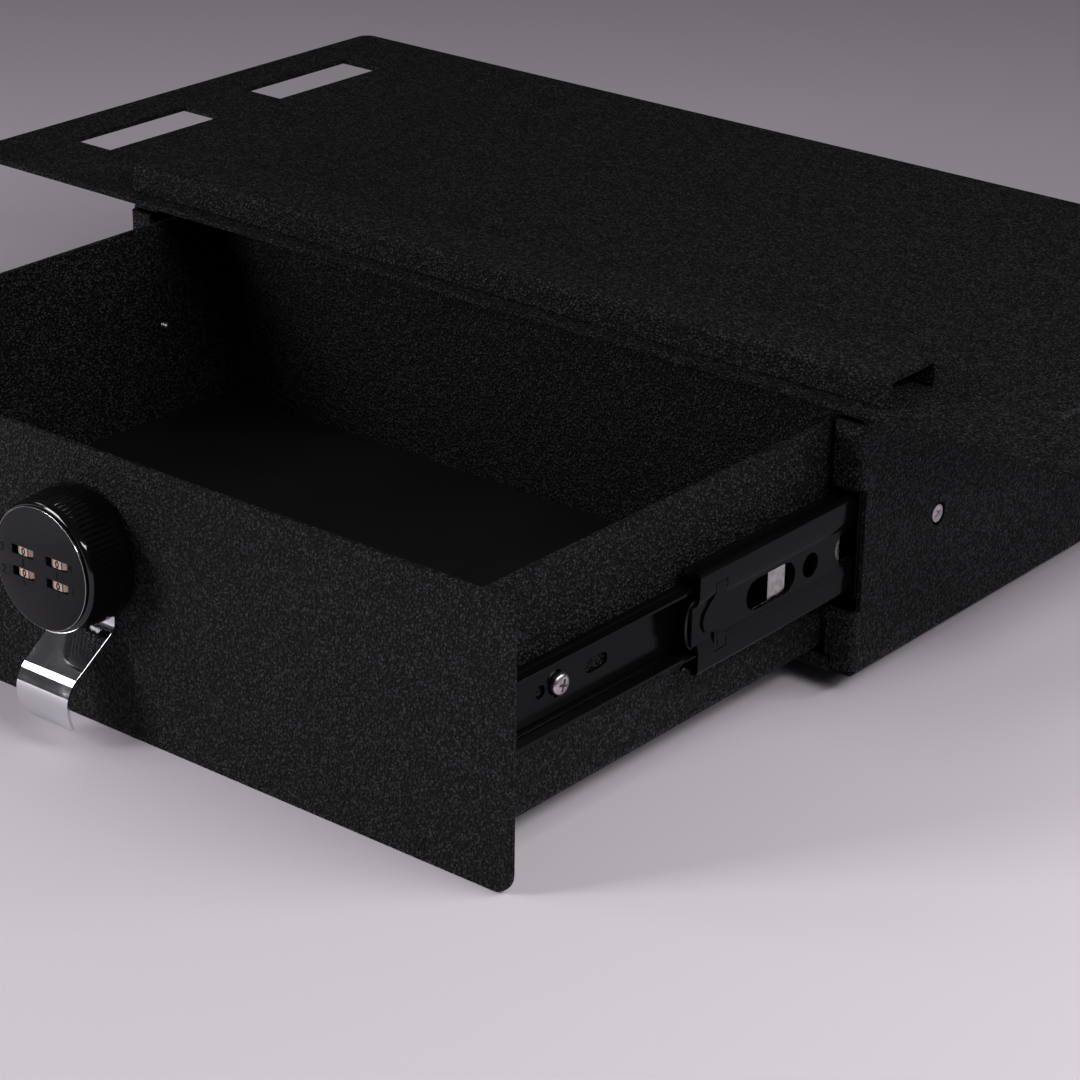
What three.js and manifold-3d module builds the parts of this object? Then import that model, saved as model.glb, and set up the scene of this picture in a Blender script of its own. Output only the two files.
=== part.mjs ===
// A drawer safe for a vehicle: a folded steel housing hangs under a mounting plate,
// and a shallow drawer runs out of it on two ball-bearing slides. A round four-wheel
// combination lock with a bent pull tab sits on the drawer's front panel.
// Millimetres. X is to the right seen from the front, Y to the rear, Z up. The origin
// is the centre of the housing's bottom face. The drawer is shown standing open.

import * as THREE from 'three';
import { mergeVertices } from 'three/addons/utils/BufferGeometryUtils.js';
import Module from 'manifold-3d';

const wasm = await Module();
wasm.setup();

// Housing, the fixed outer box
const housingWidth = 376;
const housingDepth = 257;
const housingHeight = 104.7;
const housingSheet = 2;
const housingBend = 3;
const frontFlange = 12;
const topFlange = 14;
const lipHeight = 6.5;
const lipInset = 10;
const lipRelief = 1;
const rearPanelFlange = 12;
const rearPanelGap = 0.6;

// Notch in the front flange that lets each slide out
const notchHeight = 49;
const notchDepth = 4.65;
const notchDrop = 1.8;

// Mounting plate with its four strap windows, and the channel on top of it
const plateWidth = 580;
const plateDepth = 263;
const plateSheet = 2.3;
const plateCorner = 6;
const windowWidth = 24;
const windowLength = 70;
const windowFromFront = 42;
const windowFromEnd = 23;
const channelLength = 386;
const channelDepth = 32.2;
const channelHeight = 11.7;
const channelSheet = 2.5;
const channelBend = 3;
const channelFromFront = 7.3;

// Drawer: how far it stands open, the tray, its front panel and its floor mat
const drawerOpen = 191.5;
const trayLength = 230.7;
const trayFloorHeight = 8;
const traySheet = 2;
const trayBend = 3;
const trayTop = 99.5;
const trayFlange = 12;
const panelWidth = 372;
const panelHeight = 108.4;
const panelSheet = 2;
const panelCorner = 8;
const panelTopRise = 0.4;
const panelCloseGap = 0.5;
const matThickness = 2.7;
const matCorner = 4;
const matGap = 0.5;

// Ball-bearing slide: three members, one inside the next
const slideHeight = 45;
const slideDepth = 12.7;
const slideLength = 250;
const slideCentre = 53.2;
const slideFromMouth = 4;
const outerSheet = 1.2;
const midSheet = 1;
const innerSheet = 1.2;
const cageSheet = 0.4;
const memberBend = 1.8;
const midHalf = 19.5;
const innerHalf = 13.6;
const innerFlangeGap = 0.4;
const midStep = 0.8;
const midWebHalf = 7.5;
const midStepRun = 2.8;
const trackCentre = 5.9;
const trackHalf = 1.6;
const trackSlope = 0.7;
const innerTrackDent = 0.6;
const outerBall = 2.8;
const midEdge = 2.8;
const outerEdge = 4.1;
const midSetback = 1.75;
const midTongue = 3.2;
const innerSetback = 4.1;

// Ball cages
const innerCageLength = 108;
const innerCageFromFront = 74.4;
const innerCageWindow = 24;
const innerCageBridge = 10.3;
const innerCageHalfWindow = 6;
const outerCageLength = 120;
const outerCageFromFront = 64;
const outerCageWindow = 28;
const outerCageBridge = 8;
const cageBallsPerTrack = 4;
const cageEdge = 4.6;

// Holes and slots of the slide members, from each member's front end
const midSlotAt = 43.7;
const midSlotPitch = 55;
const midSlotLength = 30;
const midSlotHeight = 12;
const midHoleAt = 68.1;
const midHoleWidth = 9.6;
const innerHoleAt = 26;
const innerHoleWidth = 5;
const innerSlotAt = 56;
const innerSlotLength = 12;
const innerSlotHeight = 5.2;
const drawerScrewAt = 35;
const drawerScrewPitch = 158;
const screwSlotHeight = 10.4;
const housingScrewAt = 50.7;
const housingScrewPitch = 128;
const housingScrewDrop = 3.1;

// Stop clip and bumper of the middle member
const clipSheet = 0.5;
const clipDisc = 5.9;
const clipDiscAt = 8.2;
const clipTabLeft = 9.5;
const clipTabRight = 16;
const clipTabRise = 12.8;
const bumperReach = 5.4;
const bumperHalf = 9;
const bumperBand = 1.3;
const bumperLength = 6;

// Screws
const screwShank = 3.6;
const screwHead = 8.6;
const screwHeadHeight = 2.5;
const screwPoke = 2.4;
const crossWidth = 1;
const crossLength = 4.8;
const crossDepth = 1.2;
const flatHead = 7.2;
const flatHeadHeight = 1.5;
const dimpleWidth = 9.4;

// Lock on the drawer's front panel
const lockX = -11.4;
const lockHeight = 60.5;
const barrelWidth = 19;
const barrelLength = 19.3;
const barrelFlange = 34;
const barrelFlangeSheet = 2.5;
const spindleWidth = 9.4;
const spindleFlange = 14;
const spindleFlangeSheet = 1.5;
const driveSquare = 5.4;
const camSquare = 6.6;
const camSheet = 2.5;
const camWidth = 14;
const camReach = 52.5;
const camEye = 18;
const camScrewShank = 3.2;
const camScrewHead = 10;
const camScrewHeight = 2.5;
const camScrewDepth = 8.5;
const nutAcross = 24;
const nutHeight = 5;
const boltPlay = 1;

// Knob with its face plate and four number wheels
const knobWidth = 52;
const knobRibFront = 49.8;
const knobFace = 46.4;
const knobDepth = 20;
const knobCollar = 4.2;
const knobBevel = 1.5;
const knobBand = 1.4;
const knobEdge = 0.8;
const knobFloor = 2;
const knobRearRecess = 3.4;
const knobCavity = 42;
const ribCount = 72;
const ribDepth = 0.55;
const ribFade = 0.4;
const faceSheet = 1;
const windowAcross = 11;
const windowUp = 3.6;
const wheelPitchX = 17.3;
const wheelPitchZ = 8.4;
const wheelFlats = 14;
const wheelHeight = 3;
const wheelHub = 5.2;
const digitsPerWheel = 10;
const wheelSetback = 0.3;
const axleWidth = 2;
const axleSpare = 0.6;
const frameShelf = 1.8;
const frameWeb = 1.8;
const frameFront = 1.3;
const frameRear = 1.3;

// Pull tab, bent from one strip
const tabSheet = 1.2;
const tabRootWidth = 28.8;
const tabLipWidth = 26.4;
const tabRootDrop = 27.2;
const tabSlopeOut = 24;
const tabSlopeDrop = 17.1;
const tabRootBend = 1.4;
const tabLipBend = 7.4;
const tabLipStraight = 4.8;
const tabLipLength = 15.8;
const tabLipRadius = 24;
const tabWideCorner = 8;
const tabNarrowCorner = 1.5;

// Gaps
const seat = 0.3;

// Steps that round stretches are drawn with
const bendSteps = 3;
const cornerSteps = 6;
const holeSides = 16;
const screwSides = 12;
const roundSides = 48;
const ballSides = 6;
const ballRings = 4;

// Places that follow from the sizes
const mouthY = -housingDepth / 2;
const rearY = housingDepth / 2;
const plateUnder = housingHeight + seat;
const plateTop = plateUnder + plateSheet;
const slideSpace = slideDepth + 2 * seat;
const trayHalf = housingWidth / 2 - housingSheet - slideSpace;
const panelBack = mouthY - panelCloseGap;
const panelFront = panelBack - panelSheet;
const trayFront = panelBack + seat;
const trayRear = trayFront + trayLength;
const outerFront = mouthY + slideFromMouth;
const midFront = outerFront + midSetback;
const innerFront = outerFront - innerSetback;

// Levels across one slide, outward from the tray's side
const innerWebOut = seat + innerSheet;
const outerWebOut = seat + slideDepth;
const outerWebIn = outerWebOut - outerSheet;
const outerCageOut = outerWebIn - seat;
const midBandOut = outerCageOut - cageSheet - seat;
const midWebOut = midBandOut - midStep;
const midWebIn = midWebOut - midSheet;
const innerCageOut = midWebIn - seat;
const innerCageIn = innerCageOut - cageSheet;
const innerFlangeEnd = innerCageIn - innerFlangeGap;

// Levels up from the slide's centre line
const outerHalf = slideHeight / 2;
const outerFaceIn = outerHalf - outerSheet;
const midTrackOut = outerFaceIn - outerBall - 2 * seat;
const midTrackIn = midTrackOut - midSheet;
const innerTrackOut = innerHalf - innerTrackDent;
const innerBall = midTrackIn - innerTrackOut - 2 * seat;
const outerBallUp = outerFaceIn - seat - outerBall / 2;
const innerBallUp = innerTrackOut + seat + innerBall / 2;
const outerCageUp = (midHalf + outerFaceIn) / 2;

// Distances out from the panel's front face, at the lock
const tabBackOut = seat;
const tabFrontOut = tabBackOut + tabSheet;
const knobRearOut = tabFrontOut + seat;
const knobFrontOut = knobRearOut + knobDepth;
const knobRecessOut = knobRearOut + knobRearRecess;
const knobFloorOut = knobRecessOut + knobFloor;
const faceBackOut = knobFrontOut + seat;
const faceFrontOut = faceBackOut + faceSheet;
const wheelOut = faceFrontOut - wheelSetback - wheelFlats / 2;
const barrelFlangeOut = knobRearOut + barrelFlangeSheet;
const spindleFlangeOut = knobRecessOut - seat;
const spindleFlangeIn = spindleFlangeOut - spindleFlangeSheet;
const barrelEndOut = knobRearOut - barrelLength;
const spindleShoulderOut = barrelEndOut - seat;
const camFrontOut = spindleShoulderOut - seat;
const camRearOut = camFrontOut - camSheet;
const camScrewOut = camRearOut - seat;

function finish(color, roughness, metalness) {
  return new THREE.MeshStandardMaterial({ color, roughness, metalness });
}

const powderCoat = finish(0x242324, 0.75, 0.1);
const blackSteel = finish(0x18181a, 0.35, 0.6);
const blackNylon = finish(0x101011, 0.5, 0);
const brightZinc = finish(0xb9b7b4, 0.3, 0.9);
const chromePlate = finish(0xd8d8da, 0.08, 1);
const glossBlack = finish(0x08080a, 0.12, 0.2);
const satinFace = finish(0x2d2c30, 0.45, 0.4);
const creamPlastic = finish(0xd8c3a0, 0.5, 0);
const floorMat = finish(0x141414, 0.9, 0);

// Solids from three.js geometry

function toSolid(geometry) {
  const bare = geometry.clone();
  bare.deleteAttribute('normal');
  bare.deleteAttribute('uv');
  const merged = mergeVertices(bare);
  const index = merged.index.array;
  const kept = [];
  for (let i = 0; i < index.length; i += 3) {
    const [a, b, c] = [index[i], index[i + 1], index[i + 2]];
    if (a !== b && b !== c && c !== a) kept.push(a, b, c);
  }
  const vertProperties = new Float32Array(merged.attributes.position.array);
  return new wasm.Manifold(new wasm.Mesh({ numProp: 3, vertProperties, triVerts: new Uint32Array(kept) }));
}

function toGeometry(solid) {
  const { vertProperties, triVerts } = solid.getMesh();
  const geometry = new THREE.BufferGeometry();
  geometry.setAttribute('position', new THREE.BufferAttribute(new Float32Array(vertProperties), 3));
  geometry.setIndex(new THREE.BufferAttribute(new Uint32Array(triVerts), 1));
  const faceted = geometry.toNonIndexed();
  faceted.computeVertexNormals();
  return faceted;
}

function join(...solids) {
  return solids.reduce((whole, piece) => whole.add(piece));
}

function cut(body, ...tools) {
  return tools.reduce((left, tool) => left.subtract(tool), body);
}

function box(x0, x1, y0, y1, z0, z1) {
  const geometry = new THREE.BoxGeometry(x1 - x0, y1 - y0, z1 - z0);
  geometry.translate((x0 + x1) / 2, (y0 + y1) / 2, (z0 + z1) / 2);
  return toSolid(geometry);
}

// An outline drawn in the plane across an axis, pushed along it. Across X the outline
// is (Y, Z), across Y it is (X, Z) and across Z it is (X, Y).
function extrude(shape, axis, from, to) {
  const geometry = new THREE.ExtrudeGeometry(shape, { depth: to - from, bevelEnabled: false });
  const x = new THREE.Vector3(1, 0, 0);
  const y = new THREE.Vector3(0, 1, 0);
  const z = new THREE.Vector3(0, 0, 1);
  const turn = new THREE.Matrix4();
  if (axis === 'x') turn.makeBasis(y, z, x).setPosition(from, 0, 0);
  if (axis === 'y') turn.makeBasis(x, z, y.clone().negate()).setPosition(0, to, 0);
  if (axis === 'z') turn.makeBasis(x, y, z).setPosition(0, 0, from);
  geometry.applyMatrix4(turn);
  return toSolid(geometry);
}

function circlePoints(cx, cy, radius, sides, start = 0) {
  return Array.from({ length: sides }, (_, i) => {
    const angle = start + (2 * Math.PI * i) / sides;
    return new THREE.Vector2(cx + radius * Math.cos(angle), cy + radius * Math.sin(angle));
  });
}

function rod(axis, from, to, a, b, radius, sides = holeSides) {
  return extrude(new THREE.Shape(circlePoints(a, b, radius, sides)), axis, from, to);
}

// A slot with round ends, its length along the outline's first or second direction.
function slotShape(a, b, length, width, upright = false) {
  const reach = (length - width) / 2;
  const steps = 6;
  const points = [];
  for (const end of [1, -1]) {
    for (let i = 0; i <= steps; i += 1) {
      const angle = (Math.PI * i) / steps - Math.PI / 2;
      const along = end * (reach + (width / 2) * Math.cos(angle));
      const across = end * (width / 2) * Math.sin(angle);
      points.push(upright ? new THREE.Vector2(a - across, b + along) : new THREE.Vector2(a + along, b + across));
    }
  }
  return new THREE.Shape(points);
}

// A rectangle with its own radius at each corner: lower left, lower right, upper right, upper left.
function rectShape(x0, x1, y0, y1, radii, steps = bendSteps) {
  const corners = [[x0, y0], [x1, y0], [x1, y1], [x0, y1]].map(([x, y]) => new THREE.Vector2(x, y));
  return new THREE.Shape(rounded(corners, radii, true, steps));
}

// The points of a path whose corners are turned into arcs of the given radius.
function rounded(corners, radii, closed = false, steps = bendSteps) {
  const count = corners.length;
  const points = [];
  corners.forEach((corner, i) => {
    const radius = Array.isArray(radii) ? radii[i] : radii;
    const isEnd = !closed && (i === 0 || i === count - 1);
    if (isEnd || !radius) {
      points.push(corner.clone());
      return;
    }
    const before = corners[(i + count - 1) % count].clone().sub(corner).normalize();
    const after = corners[(i + 1) % count].clone().sub(corner).normalize();
    const half = Math.acos(THREE.MathUtils.clamp(before.dot(after), -1, 1)) / 2;
    const centre = corner.clone().addScaledVector(before.clone().add(after).normalize(), radius / Math.sin(half));
    const start = corner.clone().addScaledVector(before, radius / Math.tan(half)).sub(centre);
    const turn = Math.PI - 2 * half;
    const side = Math.sign(before.cross(after)) || 1;
    for (let step = 0; step <= steps; step += 1) {
      const arm = start.clone().rotateAround(new THREE.Vector2(), (-side * turn * step) / steps);
      points.push(centre.clone().add(arm));
    }
  });
  return points;
}

// The closed outline of a sheet of even thickness that follows a path down its middle.
function sheetShape(path, thickness) {
  const sides = [[], []];
  path.forEach((point, i) => {
    const back = i > 0 ? point.clone().sub(path[i - 1]).normalize() : null;
    const ahead = i < path.length - 1 ? path[i + 1].clone().sub(point).normalize() : null;
    const along = (back && ahead ? back.clone().add(ahead) : back || ahead).normalize();
    const normal = new THREE.Vector2(-along.y, along.x);
    const mitre = back ? new THREE.Vector2(-back.y, back.x).dot(normal) : 1;
    const reach = thickness / 2 / mitre;
    sides[0].push(point.clone().addScaledVector(normal, reach));
    sides[1].push(point.clone().addScaledVector(normal, -reach));
  });
  return new THREE.Shape([...sides[0], ...sides[1].reverse()]);
}

function vectors(...pairs) {
  return pairs.map(([x, y]) => new THREE.Vector2(x, y));
}

// A path given from its middle outward, repeated below the first direction's axis.
function mirrored(upper) {
  const lower = upper.map((point) => new THREE.Vector2(point.x, -point.y)).reverse();
  return [...lower, ...upper];
}

// A turned solid about the Y axis from (distance out toward -Y, radius) pairs.
function turned(profile, sides = roundSides) {
  const geometry = new THREE.LatheGeometry(vectors(...profile.map(([out, radius]) => [radius, out])), sides);
  const x = new THREE.Vector3(1, 0, 0);
  const y = new THREE.Vector3(0, 1, 0);
  const z = new THREE.Vector3(0, 0, 1);
  geometry.applyMatrix4(new THREE.Matrix4().makeBasis(x, y.negate(), z.negate()));
  return toSolid(geometry);
}

function mesh(name, solid, material) {
  const piece = new THREE.Mesh(toGeometry(solid), material);
  piece.name = name;
  return piece;
}

// Housing

function frontReturn(side) {
  const wall = side * (housingWidth / 2 - housingSheet / 2);
  const faceY = mouthY + housingSheet / 2;
  const edge = side * (housingWidth / 2 - frontFlange);
  const path = rounded(
    vectors([wall, mouthY + housingBend + 1], [wall, faceY], [edge, faceY]),
    housingBend - housingSheet / 2,
  );
  const flange = extrude(sheetShape(path, housingSheet), 'z', housingBend, housingHeight - housingBend);
  const reliefEdge = housingWidth / 2 - lipInset + lipRelief;
  const reliefTop = lipHeight + 1.5;
  const inner = Math.min(side * (reliefEdge - frontFlange), side * reliefEdge);
  return cut(flange, box(inner, inner + frontFlange, mouthY - 1, mouthY + housingBend, 0, reliefTop));
}

function bottomLip() {
  const half = housingWidth / 2 - lipInset;
  const faceY = mouthY + housingSheet / 2;
  const floor = housingSheet / 2;
  const path = rounded(
    vectors([mouthY + housingBend + 1, floor], [faceY, floor], [faceY, lipHeight]),
    housingBend - housingSheet / 2,
  );
  return extrude(sheetShape(path, housingSheet), 'x', -half, half);
}

function housingShell() {
  const wall = housingWidth / 2 - housingSheet / 2;
  const low = housingSheet / 2;
  const high = housingHeight - housingSheet / 2;
  const edge = housingWidth / 2 - topFlange;
  const path = rounded(
    vectors([-edge, high], [-wall, high], [-wall, low], [wall, low], [wall, high], [edge, high]),
    housingBend - housingSheet / 2,
  );
  let shell = extrude(sheetShape(path, housingSheet), 'y', mouthY + housingBend, rearY);
  shell = join(shell, frontReturn(1), frontReturn(-1), bottomLip());
  const notchMiddle = slideCentre - notchDrop;
  for (const side of [1, -1]) {
    const near = side > 0 ? housingWidth / 2 - frontFlange - 1 : -housingWidth / 2 - 1;
    const far = near + frontFlange + 2;
    const low0 = notchMiddle - notchHeight / 2;
    shell = cut(shell, box(near, far, mouthY - 1, mouthY + notchDepth, low0, low0 + notchHeight));
    for (const index of [0, 1]) {
      shell = cut(shell, dimple(side, outerFront + housingScrewAt + index * housingScrewPitch));
    }
  }
  return shell;
}

// The hole for a flat-headed screw, wide at the housing's outer face.
function dimple(side, y) {
  const outside = (housingWidth / 2) * side;
  const inside = outside - side * housingSheet;
  const up = slideCentre - housingScrewDrop;
  const hole = rod('x', Math.min(outside, inside) - 1, Math.max(outside, inside) + 1, y, up, screwShank / 2 + seat);
  const sink = Math.min(flatHeadHeight + seat, housingSheet - seat);
  const wide = rod('x', outside - sink, outside + sink, y, up, dimpleWidth / 2);
  return join(hole, wide);
}

function rearPanel() {
  const low = housingSheet + seat + housingSheet / 2;
  const high = housingHeight - housingSheet - seat - housingSheet / 2;
  const middle = rearY - housingSheet / 2;
  const half = housingWidth / 2 - housingSheet - rearPanelGap;
  const path = rounded(
    vectors([rearY - rearPanelFlange, low], [middle, low], [middle, high], [rearY - rearPanelFlange, high]),
    housingBend - housingSheet / 2,
  );
  return extrude(sheetShape(path, housingSheet), 'x', -half, half);
}

// The cam's path through the plate: as wide as its tip sweeps above the plate's underside.
function boltSlot() {
  const rise = plateUnder - lockHeight;
  const lean = Math.acos(Math.min(1, rise / camReach));
  const left = lockX - camReach * Math.sin(lean) - camWidth / 2 - boltPlay;
  const right = lockX + camWidth / 2 + boltPlay;
  const front = panelFront - camFrontOut - boltPlay;
  const rear = panelFront - camRearOut + boltPlay;
  return { left, right, front, rear };
}

function topPlate() {
  const half = plateWidth / 2;
  const radii = [plateCorner, plateCorner, plateCorner, plateCorner];
  const outline = rectShape(-half, half, mouthY, mouthY + plateDepth, radii, cornerSteps);
  let plate = extrude(outline, 'z', plateUnder, plateTop);
  for (const side of [1, -1]) {
    for (const nearFront of [true, false]) {
      const x0 = side > 0 ? half - windowFromEnd - windowWidth : -half + windowFromEnd;
      const front = nearFront ? windowFromFront : plateDepth - windowFromFront - windowLength;
      const y0 = mouthY + front;
      plate = cut(plate, box(x0, x0 + windowWidth, y0, y0 + windowLength, plateUnder - 1, plateTop + 1));
    }
  }
  const slot = boltSlot();
  return cut(plate, box(slot.left, slot.right, slot.front, slot.rear, plateUnder - 1, plateTop + 1));
}

function topChannel() {
  const foot = plateTop + seat;
  const crown = foot + channelHeight - channelSheet / 2;
  const front = mouthY + channelFromFront + channelSheet / 2;
  const rear = mouthY + channelFromFront + channelDepth - channelSheet / 2;
  const path = rounded(
    vectors([front, foot], [front, crown], [rear, crown], [rear, foot]),
    channelBend - channelSheet / 2,
  );
  return extrude(sheetShape(path, channelSheet), 'x', -channelLength / 2, channelLength / 2);
}

// Slides. Each is drawn in its own frame: X outward from the tray's side, Z up from its centre line.

function outerMember() {
  const web = outerWebOut - outerSheet / 2;
  const flange = outerHalf - outerSheet / 2;
  const lip = outerEdge + 0.8;
  const upper = vectors([web, flange], [lip, flange], [outerEdge, flange - 0.7]);
  const path = rounded(mirrored(upper), [0, 0, memberBend, memberBend, 0, 0].slice(0, 6));
  let member = extrude(sheetShape(path, outerSheet), 'y', outerFront, outerFront + slideLength);
  for (const index of [0, 1]) {
    const y = outerFront + housingScrewAt + index * housingScrewPitch;
    const wide = screwShank + 2 * seat;
    const slot = slotShape(y, 0, wide + 2 * housingScrewDrop, wide, true);
    member = cut(member, extrude(slot, 'x', outerWebIn - 1, outerWebOut + 1));
  }
  return member;
}

function midMember() {
  const web = midWebOut - midSheet / 2;
  const band = midBandOut - midSheet / 2;
  const crown = midHalf - midSheet / 2;
  const track = midTrackOut - midSheet / 2;
  const upper = vectors(
    [web, midWebHalf],
    [band, midWebHalf + midStepRun],
    [band, crown],
    [trackCentre + trackHalf + trackSlope, crown],
    [trackCentre + trackHalf, track],
    [trackCentre - trackHalf, track],
    [trackCentre - trackHalf - trackSlope, crown],
    [midEdge, crown],
  );
  const bend = memberBend - midSheet / 2;
  const radii = [0, 0, bend, 0, 0, 0, 0, 0];
  const path = rounded(mirrored(upper), [...radii.slice().reverse(), ...radii]);
  const front = midFront - midTongue;
  let member = extrude(sheetShape(path, midSheet), 'y', front, outerFront + slideLength);
  for (const side of [1, -1]) {
    const low = side > 0 ? midWebHalf : -midHalf - 1;
    const high = side > 0 ? midHalf + 1 : -midWebHalf;
    member = cut(member, box(0, outerWebOut, front - 1, midFront, low, high));
    const tab0 = side > 0 ? midWebHalf : -clipTabRise - seat;
    const tab1 = side > 0 ? clipTabRise + seat : -midWebHalf;
    const tabSlot = box(midWebIn, outerWebOut, midFront + clipTabLeft - seat, midFront + clipTabRight + seat, tab0, tab1);
    member = cut(member, tabSlot);
  }
  for (const index of [0, 1]) {
    const slot = slotShape(midFront + midSlotAt + index * midSlotPitch, 0, midSlotLength, midSlotHeight);
    member = cut(member, extrude(slot, 'x', midWebIn - 1, midBandOut + 1));
  }
  return cut(member, rod('x', midWebIn - 1, midBandOut + 1, midFront + midHoleAt, 0, midHoleWidth / 2));
}

function innerMember() {
  const web = innerWebOut - innerSheet / 2;
  const flange = innerHalf - innerSheet / 2;
  const dent = flange - innerTrackDent;
  const dentStart = trackCentre - trackHalf - trackSlope;
  const upper = vectors([web, flange], [dentStart, flange], [dentStart + innerTrackDent, dent], [innerFlangeEnd, dent]);
  const radii = [memberBend - innerSheet / 2, 0, 0, 0];
  const path = rounded(mirrored(upper), [...radii.slice().reverse(), ...radii]);
  let member = extrude(sheetShape(path, innerSheet), 'y', innerFront, innerFront + slideLength);
  const through = [innerWebOut - innerSheet - 1, innerWebOut + 1];
  for (const index of [0, 1]) {
    const y = innerFront + drawerScrewAt + index * drawerScrewPitch;
    const slot = slotShape(y, 0, screwSlotHeight, screwShank + 2 * seat, true);
    member = cut(member, extrude(slot, 'x', ...through));
  }
  const hole = rod('x', ...through, innerFront + innerHoleAt, 0, innerHoleWidth / 2);
  const slot = extrude(slotShape(innerFront + innerSlotAt, 0, innerSlotLength, innerSlotHeight), 'x', ...through);
  return cut(member, hole, slot);
}

// A cage of thin sheet folded over at top and bottom, with its balls caught in the folds.
function ballCage({ plateOut, up, ball, ballUp, front, length, window, bridge, halfWindow, firstBridge }) {
  const plate = plateOut - cageSheet / 2;
  const path = mirrored(vectors([plate, up], [cageEdge, up]));
  let cage = extrude(sheetShape(path, cageSheet), 'y', front, front + length);
  const period = window + bridge;
  const first = Math.ceil((bridge / 2 - firstBridge - window) / period);
  for (let i = first; firstBridge + bridge + i * period < length - bridge / 2; i += 1) {
    const start = Math.max(firstBridge + bridge + i * period, bridge / 2);
    const end = Math.min(firstBridge + bridge + i * period + window, length - bridge / 2);
    if (end - start < bridge) continue;
    cage = cut(cage, box(plateOut - 1, plateOut + 1, front + start, front + end, -halfWindow, halfWindow));
  }
  const pitch = length / cageBallsPerTrack;
  for (let i = 0; i < cageBallsPerTrack; i += 1) {
    for (const side of [1, -1]) {
      const geometry = new THREE.SphereGeometry(ball / 2, ballSides, ballRings);
      geometry.translate(trackCentre, front + (i + 0.5) * pitch, side * ballUp);
      cage = cage.add(toSolid(geometry));
    }
  }
  return cage;
}

function innerCage() {
  return ballCage({
    plateOut: innerCageOut,
    up: innerBallUp,
    ball: innerBall,
    ballUp: innerBallUp,
    front: outerFront + innerCageFromFront,
    length: innerCageLength,
    window: innerCageWindow,
    bridge: innerCageBridge,
    halfWindow: innerCageHalfWindow,
    firstBridge: innerCageWindow - innerCageBridge / 2,
  });
}

function outerCage() {
  return ballCage({
    plateOut: outerCageOut,
    up: outerCageUp,
    ball: outerBall,
    ballUp: outerBallUp,
    front: outerFront + outerCageFromFront,
    length: outerCageLength,
    window: outerCageWindow,
    bridge: outerCageBridge,
    halfWindow: midHalf - 3 * cageSheet,
    firstBridge: 0,
  });
}

// A flat clip over the middle member's web, with a tab in each band and a round thumb plate.
function midClip() {
  const low = midWebOut + seat;
  const left = midFront + clipTabLeft;
  const right = midFront + clipTabRight;
  const disc = rod('x', low, low + clipSheet, midFront + clipDiscAt, 0, clipDisc, holeSides);
  const bar = box(low, low + clipSheet, left, right, -clipTabRise, clipTabRise);
  return join(bar, disc);
}

// A thin springy bow in front of the middle member, its legs behind the web.
function midBumper() {
  const high = bumperHalf;
  const reach = bumperReach;
  const steps = 8;
  const legs = (end) => new THREE.Vector2(midFront + bumperLength, end * (high - bumperBand / 2));
  const bow = [];
  for (let i = 0; i <= steps; i += 1) {
    const across = 1 - (2 * i) / steps;
    const depth = Math.sqrt(Math.max(0, 1 - 0.8 * across * across));
    bow.push(new THREE.Vector2(midFront - reach * depth + bumperBand / 2, across * (high - bumperBand / 2)));
  }
  const ring = extrude(sheetShape([legs(1), ...bow, legs(-1)], bumperBand), 'x', innerCageIn, innerCageOut + seat / 3);
  const bridgeX = [innerCageIn, innerCageOut + seat / 3];
  const bridge = box(...bridgeX, midFront + bumperLength - bumperBand, midFront + bumperLength, -high + 0.1, high - 0.1);
  return join(ring, bridge);
}

function crossRecess(headFace, y) {
  const depth0 = headFace - crossDepth;
  const half = crossLength / 2;
  const thin = crossWidth / 2;
  const upright = box(depth0, headFace + 1, y - thin, y + thin, -half, half);
  const level = box(depth0, headFace + 1, y - half, y + half, -thin, thin);
  return join(upright, level);
}

// A turned solid about the X axis from (X, radius) pairs, at the given Y.
function turnedAlongX(profile, y, sides = screwSides) {
  const geometry = new THREE.LatheGeometry(vectors(...profile.map(([x, radius]) => [radius, x])), sides);
  const ex = new THREE.Vector3(1, 0, 0);
  const ey = new THREE.Vector3(0, 1, 0);
  const ez = new THREE.Vector3(0, 0, 1);
  geometry.applyMatrix4(new THREE.Matrix4().makeBasis(ey, ex, ez.negate()).setPosition(0, y, 0));
  return toSolid(geometry);
}

// A pan-headed screw through the inner member and the tray's side.
function drawerScrew(index) {
  const y = innerFront + drawerScrewAt + index * drawerScrewPitch;
  const under = innerWebOut + seat;
  const top = under + screwHeadHeight;
  const tip = -traySheet - screwPoke;
  const head = screwHead / 2;
  const shank = screwShank / 2;
  const body = turnedAlongX(
    [[tip, 0], [tip, shank - 0.5], [tip + 0.5, shank], [under, shank], [under, head],
      [under + 0.4 * screwHeadHeight, head], [under + 0.8 * screwHeadHeight, head * 0.86], [top, head * 0.6], [top, 0]],
    y,
  );
  return cut(body, crossRecess(top, y));
}

// A flat-headed screw through the housing's side into the outer member's upright slot.
function housingScrew(index, up) {
  const y = outerFront + housingScrewAt + index * housingScrewPitch;
  const face = slideSpace + housingSheet - 0.2;
  const shank = screwShank / 2;
  const neck = face - Math.min(flatHeadHeight, housingSheet - 2 * seat);
  const body = turnedAlongX(
    [[outerWebIn, 0], [outerWebIn, shank], [neck, shank], [neck + 0.3, flatHead / 2 - 0.6], [face - 0.4, flatHead / 2],
      [face, flatHead / 2 - 0.3], [face, 0]],
    y,
  );
  const shallow = crossRecess(face + crossDepth / 2, y);
  return cut(body, shallow).translate([0, 0, up]);
}

// Drawer, drawn as it stands when closed

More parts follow.
